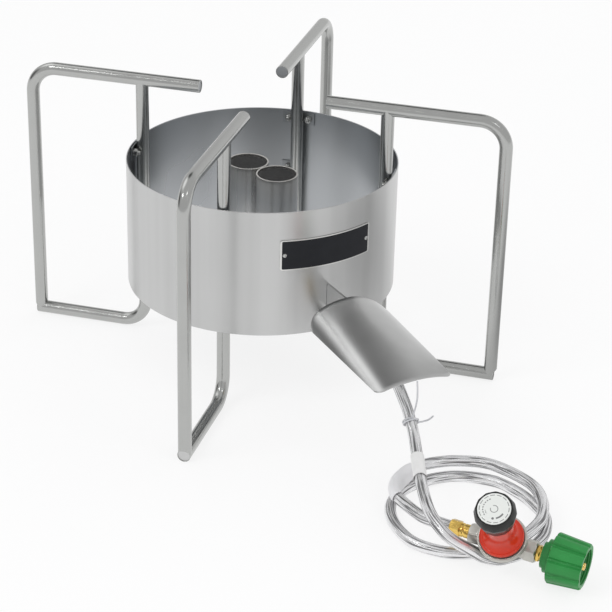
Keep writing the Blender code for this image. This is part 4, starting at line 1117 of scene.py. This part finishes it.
class BURNER_OT_shield(bpy.types.Operator):
    """Rolled heat shield over the gas supply"""

    bl_idname = "burner.shield"
    bl_label = "Heat shield"

    def execute(self, context):
        near, far = (0.210, 0.053, 0.161, 0.027), (SHIELD_FAR, 0.049, SHIELD_FAR_CREST, 0.008)
        corner, rows, count = 0.010, 28, 44
        bm = bmesh.new()
        grid = []
        for row in range(rows + 1):
            share = row / rows
            line = []
            for i in range(count + 1):
                s = math.sin(math.pi / 2 * (2 * i / count - 1))
                from_edge = (1 - abs(s)) * far[1]
                inset = 0.0
                if from_edge < corner:
                    inset = corner - math.sqrt(corner**2 - (corner - from_edge) ** 2)
                reach = near[0] + inset + (far[0] - near[0] - 2 * inset) * share
                along = (reach - near[0]) / (far[0] - near[0])
                half, crest, rise = (a + (b - a) * along for a, b in zip(near[1:], far[1:]))
                drop = s * s if s > 0 else (1 - EDGE_CURL) * s * s + EDGE_CURL * s**8
                line.append(bm.verts.new((reach, s * half, crest - rise * drop)))
            grid.append(line)
        sheet_faces(bm, grid)
        sheet = loose("shield_sheet", to_mesh("shield_sheet", bm))
        walled(sheet, SHIELD_WALL, -1.0)
        eased(sheet, 0.0004, 50)
        mesh = without_modifiers(sheet)
        mesh.transform(SUPPLY)
        mesh_piece("shield", mesh, "sheet", "stand", 40.0, ["heat_shield"])
        return {"FINISHED"}


class BURNER_OT_supply(bpy.types.Operator):
    """Supply pipe, flare adapter, swivel nut and crimped sleeve"""

    bl_idname = "burner.supply"
    bl_label = "Supply line"

    def execute(self, context):
        start, end = 0.03935, 0.236
        threads = [(0.00685 - (0.0006 if k % 2 else 0.0), end - 0.014 + 0.0007 * k) for k in range(20)]
        turned_piece("supply_tube", [(0.00685, start), *threads, (0.0060, end)], 32, "polished",
                     SUPPLY_LINE, 25.0, ["supply_pipe"])
        brass_fitting("flare_fitting", "flare_adapter", SUPPLY_LINE, (0.017, 0.23635, 0.2465),
                      [(0.0079, 0.2462), (0.0079, 0.2485), (0.0070, 0.2490), (0.0070, 0.25235)])
        brass_fitting("swivel_fitting", "hose_swivel_nut", SUPPLY_LINE, (0.017, 0.2527, 0.2640),
                      [(0.0081, 0.2638), (0.0081, 0.2665), (0.0068, 0.2687)], ease=0.0005)

        waves = [(0.0078 - 0.0005 * (0.5 - 0.5 * math.cos(k * math.pi / 2)), 0.2712 + k * 0.00095)
                 for k in range(17)]
        crimped = [(0.0069, 0.26905), (0.0078, 0.2700), *waves, (0.0078, 0.2874), (0.0070, 0.28805)]
        turned_piece("crimp_sleeve", crimped, 40, "polished", SUPPLY_LINE, 30.0,
                     ["hose_crimp"])
        return {"FINISHED"}


def hose_line(step=0.002):
    """The hose's centre line from the crimp to the regulator's ferrule, and the splice's place in it."""
    def on_line(reach):
        return SUPPLY_LINE @ Vector((0, 0, reach))

    centre = [Vector((COIL_CENTRE[0] + r * math.cos(math.radians(a)),
                      COIL_CENTRE[1] + r * math.sin(math.radians(a)), z)) for a, r, z in COIL_ROUTE]
    lead = [on_line(HOSE_START), on_line(HOSE_START + HOSE_RADIUS), *(Vector(p) for p in LEAD_ROUTE)]
    ahead = (centre[0] - lead[-1]).normalized()
    splice = (centre[0] + lead[-1]) / 2
    socket = FITTINGS @ Vector((0, 0, FERRULE_END - GAP))
    straight = FITTINGS @ Vector((0, 0, FERRULE_END - GAP - HOSE_RADIUS * 2))
    first = smooth_route([*lead, splice - ahead * HOSE_RADIUS, splice], step)
    second = smooth_route([splice, splice + ahead * HOSE_RADIUS, *centre, straight, socket], step)
    return [lead[0], *first, *second, socket], len(first) + 1


class BURNER_OT_hose(bpy.types.Operator):
    """Braided hose, coiled on the ground, with its film sleeves"""

    bl_idname = "burner.hose"
    bl_label = "Hose"

    def execute(self, context):
        line, splice_index = hose_line()
        sides = sizes().hose_sides
        runs = [0.0]
        for a, b in zip(line, line[1:]):
            runs.append(runs[-1] + (b - a).length)
        bm = bmesh.new()
        uv = bm.loops.layers.uv.new("braid")
        rows = [[bm.verts.new(p) for p in r] for r in tube_rings(line, HOSE_RADIUS, sides)]
        for k, (a, b) in enumerate(zip(rows, rows[1:])):
            for i in range(sides):
                j = (i + 1) % sides
                face = bm.faces.new((a[i], b[i], b[j], a[j]))
                for loop, (u, v) in zip(face.loops, ((i, k), (i, k + 1), (i + 1, k + 1), (i + 1, k))):
                    loop[uv].uv = (u / sides, runs[v])
        bm.faces.new(rows[0])
        bm.faces.new(list(reversed(rows[-1])))
        bmesh.ops.recalc_face_normals(bm, faces=bm.faces)
        to_piece("hose", bm, "braid", "stand", None, 60.0, ["hose_lead", "hose_coil"])

        collar = self.collar(line, splice_index)
        to_piece("film_collar", collar, "film", "stand", None, 60.0, ["hose_tag_collar"])
        inside = [k for k in range(len(line) // 2, len(line)) if self.in_label(line[k])]
        mesh = self.label(line[inside[0]:inside[-1] + 1])
        mesh_piece("film_label", mesh, "label", "stand", 50.0, ["hose_tag_sleeve"])
        bm = bmesh.new()
        skin(bm, tube_rings(self.tie_route(line[:splice_index]), TIE_RADIUS, 12))
        facing_out(bm)
        to_piece("wire_tie", bm, "tie", "stand", None, 60.0, ["hose_tie"])
        return {"FINISHED"}

    def label(self, line):
        """A film folded round the hose into a flap, its free edge and end cut by one straight line."""
        radius, half_gap, steps = 0.0076, 0.0003, 24
        cut = Vector(LABEL_CUT_FACING).normalized()
        leave = math.acos(radius / LABEL_REACH)
        bm = bmesh.new()
        rows = []
        for centre, side, up in route_frames(line):
            ahead = up.cross(side)
            out = (ahead * cut.dot(ahead) - cut).normalized()
            across = ahead.cross(out)
            tail = []
            for sign in (1, -1):
                free = centre + out * LABEL_REACH + across * half_gap * sign
                tangent = centre + (out * math.cos(leave) + across * math.sin(leave) * sign) * radius
                tail.append([free.lerp(tangent, share) for share in (0.0, 0.33, 0.67)])
            arc = []
            for i in range(steps + 1):
                angle = leave + (math.tau - 2 * leave) * i / steps
                arc.append(centre + (out * math.cos(angle) + across * math.sin(angle)) * radius)
            rows.append([bm.verts.new(p) for p in (*tail[0], *arc, *reversed(tail[1]))])
        sheet_faces(bm, rows)
        bmesh.ops.bisect_plane(bm, geom=[*bm.verts, *bm.edges, *bm.faces], dist=1e-6, plane_co=LABEL_CUT,
                               plane_no=cut, clear_inner=True)
        film = loose("label_film", to_mesh("label_film", bm))
        walled(film, 0.0002, 0.0)
        return without_modifiers(film)

    def tie_route(self, lead):
        """From the shield's far edge, once round the hose, with a free tail."""
        index = min(range(1, len(lead) - 1), key=lambda k: abs(lead[k].z - TIE_HEIGHT))
        centre = lead[index]
        ahead = (lead[index + 1] - lead[index - 1]).normalized()
        side = ahead.cross(Vector((0, 0, 1))).normalized() * -1
        up = ahead.cross(side).normalized()
        if up.z < 0:
            up = -up
        reach = HOSE_RADIUS + TIE_RADIUS + TIE_SLACK
        start = SUPPLY @ Vector((SHIELD_FAR + TIE_RADIUS + GAP, 0, SHIELD_FAR_CREST - SHIELD_WALL))
        points = [start, start + Vector((0.0012, -0.0016, -0.022))]
        for k in range(int(TIE_TURNS * 12) + 1):
            turn = math.tau * k / 12
            along = ahead * TIE_PITCH * (k / 12 - TIE_TURNS / 2)
            points.append(centre + up * reach * math.cos(turn) - side * reach * math.sin(turn) + along)
        points += [centre + Vector(offset) for offset in TIE_TAIL]
        return smooth_route([points[0], *points, points[-1]], 0.0008)

    def in_label(self, p):
        turn = math.degrees(math.atan2(p.y - COIL_CENTRE[1], p.x - COIL_CENTRE[0])) % 360 + 720
        return LABEL_FROM < turn < LABEL_TO and p.z > 0.015

    def collar(self, line, index):
        """A thin film wrapped over the splice with soft creases, open at both ends."""
        start = end = index
        run = 0.0
        while run < COLLAR_LENGTH * 0.25:
            run += (line[start] - line[start - 1]).length
            start -= 1
        run = 0.0
        while run < COLLAR_LENGTH * 0.75:
            run += (line[end + 1] - line[end]).length
            end += 1

        def outer(share, angle):
            crease = 0.00016 * math.sin(3 * angle + 9 * share) + 0.00012 * math.sin(7 * angle - 17 * share)
            return 0.00745 + crease

        bm = bmesh.new()
        out = tube_rings(line[start:end + 1], outer, 40)
        into = tube_rings(line[start:end + 1], lambda share, angle: outer(share, angle) - 0.00025, 40)
        skin(bm, [*out, *reversed(into)], closed=True)
        facing_out(bm)
        return bm


class BURNER_OT_regulator(bpy.types.Operator):
    """Regulator body, bonnet, hose ferrule and inlet nipple"""

    bl_idname = "burner.regulator"
    bl_label = "Regulator"

    def execute(self, context):
        bm = bmesh.new()
        profile = rounded([(0.0, -0.0112), (0.0118, -0.0112), (0.0160, -0.0072), (0.0160, 0.0040),
                           (0.0266, 0.0080), (0.0266, 0.0130), (0.0254, 0.0137), (0.0240, 0.0137),
                           (0.0240, 0.0128), (0.0160, 0.0128)],
                          0.0009)
        lathe(bm, [(max(r, 0.0004), z) for r, z in profile], 72)
        boss = rounded([(0.0105, -0.0290), (0.0105, 0.0290)], 0.0003)
        lathe(bm, boss, 40, ALONG_X)
        hex_form(bm, 0.0195, -0.0370, -0.0250, matrix=ALONG_X)
        hex_form(bm, 0.0215, 0.0250, 0.0375, matrix=ALONG_X)
        for angle in (math.radians(a) for a in (75, 105, 255, 285)):
            rib = Matrix.Rotation(angle, 4, "Z")
            before = set(bm.verts)
            bmesh.ops.create_cube(bm, size=1.0, matrix=rib @ Matrix.Translation((0.0188, 0, 0.0010))
                                  @ Matrix.Rotation(math.radians(32), 4, "Y")
                                  @ Matrix.Diagonal((0.006, 0.0022, 0.013, 1)))
            fresh = [v for v in bm.verts if v not in before]
            edges = list({e for v in fresh for e in v.link_edges})
            bmesh.ops.bevel(bm, geom=edges, offset=0.0005, segments=2, affect="EDGES")
        facing_out(bm)
        to_piece("regulator_casting", bm, "zinc", "stand", REGULATOR, 30.0, ["regulator_body"])

        outer = [(0.0236, 0.0152), (0.0236, 0.0182), (0.0221, 0.0196)]
        for i in range(13):
            turn = math.pi / 2 * i / 12
            outer.append((0.015 + 0.0071 * (1 - math.sin(turn)), 0.0192 + 0.0153 * (1 - math.cos(turn))))
        outer += [(0.0150, 0.0672), (0.0046, 0.0672), (0.0046, 0.0617), (0.0125, 0.0617), (0.0125, 0.0152)]
        turned_piece("bonnet", rounded(outer + [outer[0]], 0.0006)[:-1], 72, "enamel", REGULATOR, 28.0,
                     ["regulator_bonnet"], closed=True)

        brass_fitting("ferrule", "hose_ferrule", FITTINGS, (0.0165, FERRULE_END, FERRULE_END + 0.0118),
                      [(0.0074, FERRULE_END + 0.0115), (0.0078, FERRULE_END + 0.0145), (0.0070, -0.0440),
                       (0.0076, -0.0425), (0.0076, FERRULE_START)], ease=0.0004)
        stem = [(0.0068, 0.0416), (0.0068, 0.0700), (0.0060, 0.0706), (0.0060, 0.0722), (0.0068, 0.0728),
                (0.0068, 0.0798), (0.0048, 0.0858), (0.0038, 0.0898), (0.0016, 0.0898), (0.0014, 0.0878)]
        brass_fitting("nipple", "inlet_nipple", FITTINGS, (0.0165, 0.03785, 0.04185), stem)
        return {"FINISHED"}


class BURNER_OT_knob(bpy.types.Operator):
    """Faceted knob and its dial"""

    bl_idname = "burner.knob"
    bl_label = "Knob"

    def execute(self, context):
        facets = 12
        profile = [(0.0156, 0.0792, 0), (0.0156, 0.0600, 0), (0.0182, 0.0600, 1), (0.0218, 0.0778, 1),
                   (0.0190, 0.0872, 1), (0.01765, 0.0872, 0), (0.01765, 0.0860, 0)]
        rings = []
        for radius, height, faceted in profile:
            line = []
            for k in range(facets * 4):
                angle = math.tau * k / (facets * 4)
                corner = radius / math.cos(math.pi / facets)
                if faceted:
                    reach = min(corner * math.cos(math.pi / facets) / math.cos(from_flat(angle, facets)),
                                corner * 0.994)
                else:
                    reach = radius
                line.append(Vector((reach * math.cos(angle), reach * math.sin(angle), height)))
            rings.append(line)
        bm = bmesh.new()
        skin(bm, rings)
        facing_out(bm)
        knob = loose("knob_form", to_mesh("knob_form", bm))
        eased(knob, 0.0005, 24)
        mesh = without_modifiers(knob)
        mesh.transform(REGULATOR)
        mesh_piece("knob_grip", mesh, "knob", "knob", 30.0, ["regulator_knob"])

        bm = bmesh.new()
        uv = bm.loops.layers.uv.new("dial")
        top, reach = 0.0872, 0.0173
        rows = [(reach, top - 0.0007), (reach, top + 0.00005), (reach - 0.0003, top + 0.00015),
                (reach * 0.66, top + 0.00015), (reach * 0.33, top + 0.00015), (0.0010, top + 0.00015)]
        skin(bm, [ring(r, z, 64) for r, z in rows])
        facing_out(bm)
        lay_map(bm, uv, lambda p: (p.x / reach, p.y / reach))
        to_piece("dial_disc", bm, "dial", "knob", REGULATOR, 30.0, ["knob_dial"])
        return {"FINISHED"}


class BURNER_OT_coupling(bpy.types.Operator):
    """Ribbed coupling nut"""

    bl_idname = "burner.coupling"
    bl_label = "Coupling nut"

    def execute(self, context):
        dips = (0.0, 0.0, 0.0, 0.0, 0.05, 1.0, 0.92, 0.12)  # from one rib's crest to the next
        ribs, per_rib = 10, len(dips)
        count = ribs * per_rib
        valley = 0.0030

        def ribbed(radius, height, depth):
            line = []
            for k in range(count):
                angle = math.tau * (k - 1.5) / count + math.tau / (ribs * 4)
                reach = radius - depth * dips[k % per_rib]
                line.append(Vector((reach * math.cos(angle), reach * math.sin(angle), height)))
            return line

        def plain(radius, height):
            return ribbed(radius, height, 0.0)

        rings = [plain(0.0140, 0.0445), plain(0.0140, 0.0485), plain(0.0180, 0.0485), plain(0.0180, 0.0545),
                 ribbed(0.0250, 0.0545, 0.0006), ribbed(0.0270, 0.0552, valley * 0.9),
                 ribbed(0.0275, 0.0562, valley), ribbed(0.0262, 0.0720, valley),
                 ribbed(0.02485, 0.0895, valley), ribbed(0.0243, 0.0906, valley * 0.8),
                 plain(0.0228, 0.0910), plain(0.0195, 0.0910), plain(0.0190, 0.0900)]
        for k in range(18):
            rings.append(plain(0.0195 if k % 2 == 0 else 0.0189, 0.0890 - k * 0.0014))
        rings += [plain(0.0195, 0.0630), plain(0.00764, 0.0630), plain(0.00764, 0.0445)]
        bm = bmesh.new()
        skin(bm, rings, closed=True)
        facing_out(bm)
        to_piece("coupling_grip", bm, "nylon", "coupling_nut", FITTINGS, 24.0,
                 ["coupling_nut"])
        return {"FINISHED"}


class BURNER_OT_cord(bpy.types.Operator):
    bl_idname = "burner.cord"
    bl_label = "Cord"

    def execute(self, context):
        line, _ = hose_line()
        return {"FINISHED"}


class BURNER_OT_carried(bpy.types.Operator):
    """Finishes for the solids that are shown as they are"""

    bl_idname = "burner.carried"
    bl_label = "Carried solids"

    def execute(self, context):
        kept = {
            "sheet": [f"leg_{side_name}_{kind}_strap" for side_name in LEGS for kind in ("upper", "lower")]
            + ["burner_bracket"],
            "screen": ["flame_screen_left", "flame_screen_right"],
            "zinc": ["gas_manifold"],
            "rubber": ["diaphragm"],
            "polished": ["adjusting_screw", "spring_button", "adjusting_spring"],
        }
        for finish_name, names in kept.items():
            for name in names:
                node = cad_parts[name]
                node.data.materials.clear()
                node.data.materials.append(finish(finish_name))
        return {"FINISHED"}


class BURNER_OT_stage(bpy.types.Operator):
    """Camera, floor, lamps and a pale studio"""

    bl_idname = "burner.stage"
    bl_label = "Stage"

    def execute(self, context):
        scene = context.scene
        self.camera(scene)
        self.floor()
        self.lamps(scene)
        self.world(scene)
        scene.view_settings.view_transform = "Standard"
        return {"FINISHED"}

    def camera(self, scene):
        data = bpy.data.cameras.new("view")
        data.sensor_width = 36.0
        data.lens = CAMERA_LENS
        camera = bpy.data.objects.new("view", data)
        ahead = Vector((math.sin(CAMERA_YAW) * math.cos(CAMERA_PITCH),
                        math.cos(CAMERA_YAW) * math.cos(CAMERA_PITCH), math.sin(CAMERA_PITCH)))
        right = ahead.cross(Vector((0, 0, 1))).normalized()
        up = right.cross(ahead)
        side = right * math.cos(CAMERA_ROLL) + up * math.sin(CAMERA_ROLL)
        top = -right * math.sin(CAMERA_ROLL) + up * math.cos(CAMERA_ROLL)
        turn = Matrix((side, top, -ahead)).transposed().to_4x4()
        camera.matrix_world = Matrix.Translation(CAMERA_PLACE) @ turn
        scene.collection.objects.link(camera)
        scene.camera = camera

    def floor(self):
        bm = bmesh.new()
        bmesh.ops.create_circle(bm, cap_ends=True, radius=9.0, segments=64)
        bmesh.ops.translate(bm, vec=(0, 0, -0.0003), verts=bm.verts)
        mesh = to_mesh("studio_floor", bm)
        made = Finish("studio_floor", finishes().floor, 0.0, 0.9)
        grain = made.noise(3.0, made.place(), 2.0)
        made.set("Base Color", made.shade(grain, 0.985, 1.0))
        path = made.node("ShaderNodeLightPath")
        seen = made.math("MAXIMUM", path.outputs["Is Camera Ray"], path.outputs["Is Glossy Ray"])
        away = made.node("ShaderNodeVectorMath", {0: made.place(), 1: FLOOR_DARK_PLACE}, operation="DISTANCE")
        dark = made.spread(away.outputs["Value"], FLOOR_DARK_FROM, FLOOR_DARK_TO, 0.0, FLOOR_DARK)
        shade = made.math("MULTIPLY", dark, path.outputs["Is Glossy Ray"])
        glow = made.node("ShaderNodeEmission", {
            "Color": (1, 1, 1, 1), "Strength": made.math("SUBTRACT", 1.0, shade)})
        blend = made.node("ShaderNodeMixShader", {
            0: made.math("MULTIPLY", seen, FLOOR_GLOW), 1: made.shader.outputs[0], 2: glow.outputs[0]})
        made.tree.links.new(blend.outputs[0], made.tree.nodes["Material Output"].inputs["Surface"])
        mesh.materials.append(made.material)
        loose("studio_floor", mesh)

    def lamps(self, scene):
        for name, place, target, size, power in (
            ("key", (-1.6, -2.0, 2.6), (0.05, 0, 0.15), 1.8, 26.0),
            ("fill", (2.6, -1.4, 1.8), (0.1, -0.1, 0.15), 1.6, 11.0),
            ("rim", (0.4, 2.4, 2.2), (0, 0, 0.2), 1.6, 6.0),
        ):
            data = bpy.data.lights.new(name, "AREA")
            data.shape, data.size, data.energy = "DISK", size, power
            lamp = bpy.data.objects.new(name, data)
            lamp.visible_glossy = False
            lamp.location = place
            lamp.rotation_euler = (Vector(target) - Vector(place)).to_track_quat("-Z", "Y").to_euler()
            scene.collection.objects.link(lamp)

    def world(self, scene):
        """White to the eye; for what shines, a soft room with dark and bright panels."""
        world = bpy.data.worlds.new("studio")
        world.use_nodes = True
        scene.world = world
        world.node_tree.nodes.clear()
        node = functools.partial(add_node, world.node_tree)

        way = node("ShaderNodeVectorMath", {0: node("ShaderNodeTexCoord").outputs["Generated"]},
                   operation="NORMALIZE").outputs["Vector"]
        tone = node("ShaderNodeValue").outputs[0]
        tone.default_value = ROOM_TONE
        for azimuth, height, inner, outer, value in ROOM_PANELS:
            across, up = math.radians(azimuth), math.radians(height)
            middle = (math.cos(up) * math.cos(across), math.cos(up) * math.sin(across), math.sin(up))
            near = node("ShaderNodeVectorMath", {0: way, 1: middle}, operation="DOT_PRODUCT").outputs["Value"]
            share = node("ShaderNodeMapRange", {
                "Value": near, "From Min": math.cos(math.radians(outer)),
                "From Max": math.cos(math.radians(inner)),
            }, interpolation_type="SMOOTHSTEP").outputs["Result"]
            tone = node("ShaderNodeMix", {0: share, 2: tone, 3: value}).outputs[0]
        room = node("ShaderNodeBackground", {"Color": (1, 1, 1, 1), "Strength": tone})
        plain = node("ShaderNodeBackground", {"Color": (0.80, 0.80, 0.81, 1)})
        white = node("ShaderNodeBackground", {"Color": (1, 1, 1, 1)})
        path = node("ShaderNodeLightPath")
        shine = node("ShaderNodeMixShader", {
            0: path.outputs["Is Glossy Ray"], 1: plain.outputs[0], 2: room.outputs[0]})
        seen = node("ShaderNodeMixShader", {
            0: path.outputs["Is Camera Ray"], 1: shine.outputs[0], 2: white.outputs[0]})
        node("ShaderNodeOutputWorld", {"Surface": seen.outputs[0]})


class BURNER_PT_panel(bpy.types.Panel):
    """Buttons for each group of pieces"""

    bl_idname = "BURNER_PT_panel"
    bl_label = "Gas Burner Stand"
    bl_space_type = "VIEW_3D"
    bl_region_type = "UI"
    bl_category = "Burner"

    def draw(self, context):
        for settings in (context.scene.stand_sizes, context.scene.stand_finishes):
            box = self.layout.box()
            for key in settings.__annotations__:
                box.prop(settings, key)
        for operator in operators:
            self.layout.operator(operator.bl_idname)


operators = (
    BURNER_OT_stage,
    BURNER_OT_hose,
    BURNER_OT_legs,
    BURNER_OT_nuts,
    BURNER_OT_shroud,
    BURNER_OT_nameplate,
    BURNER_OT_burner,
    BURNER_OT_shield,
    BURNER_OT_supply,
    BURNER_OT_regulator,
    BURNER_OT_knob,
    BURNER_OT_coupling,
    BURNER_OT_carried,
    BURNER_OT_cord,
)
classes = (StandSizes, StandFinishes, *operators, BURNER_PT_panel)


def register():
    for each in classes:
        bpy.utils.register_class(each)
    bpy.types.Scene.stand_sizes = PointerProperty(type=StandSizes)
    bpy.types.Scene.stand_finishes = PointerProperty(type=StandFinishes)


def unregister():
    del bpy.types.Scene.stand_finishes
    del bpy.types.Scene.stand_sizes
    for each in reversed(classes):
        bpy.utils.unregister_class(each)


def main():
    register()
    for operator in operators:
        group, name = operator.bl_idname.split(".")
        getattr(getattr(bpy.ops, group), name)()
    bpy.context.view_layer.update()


if __name__ == "__main__":
    main()
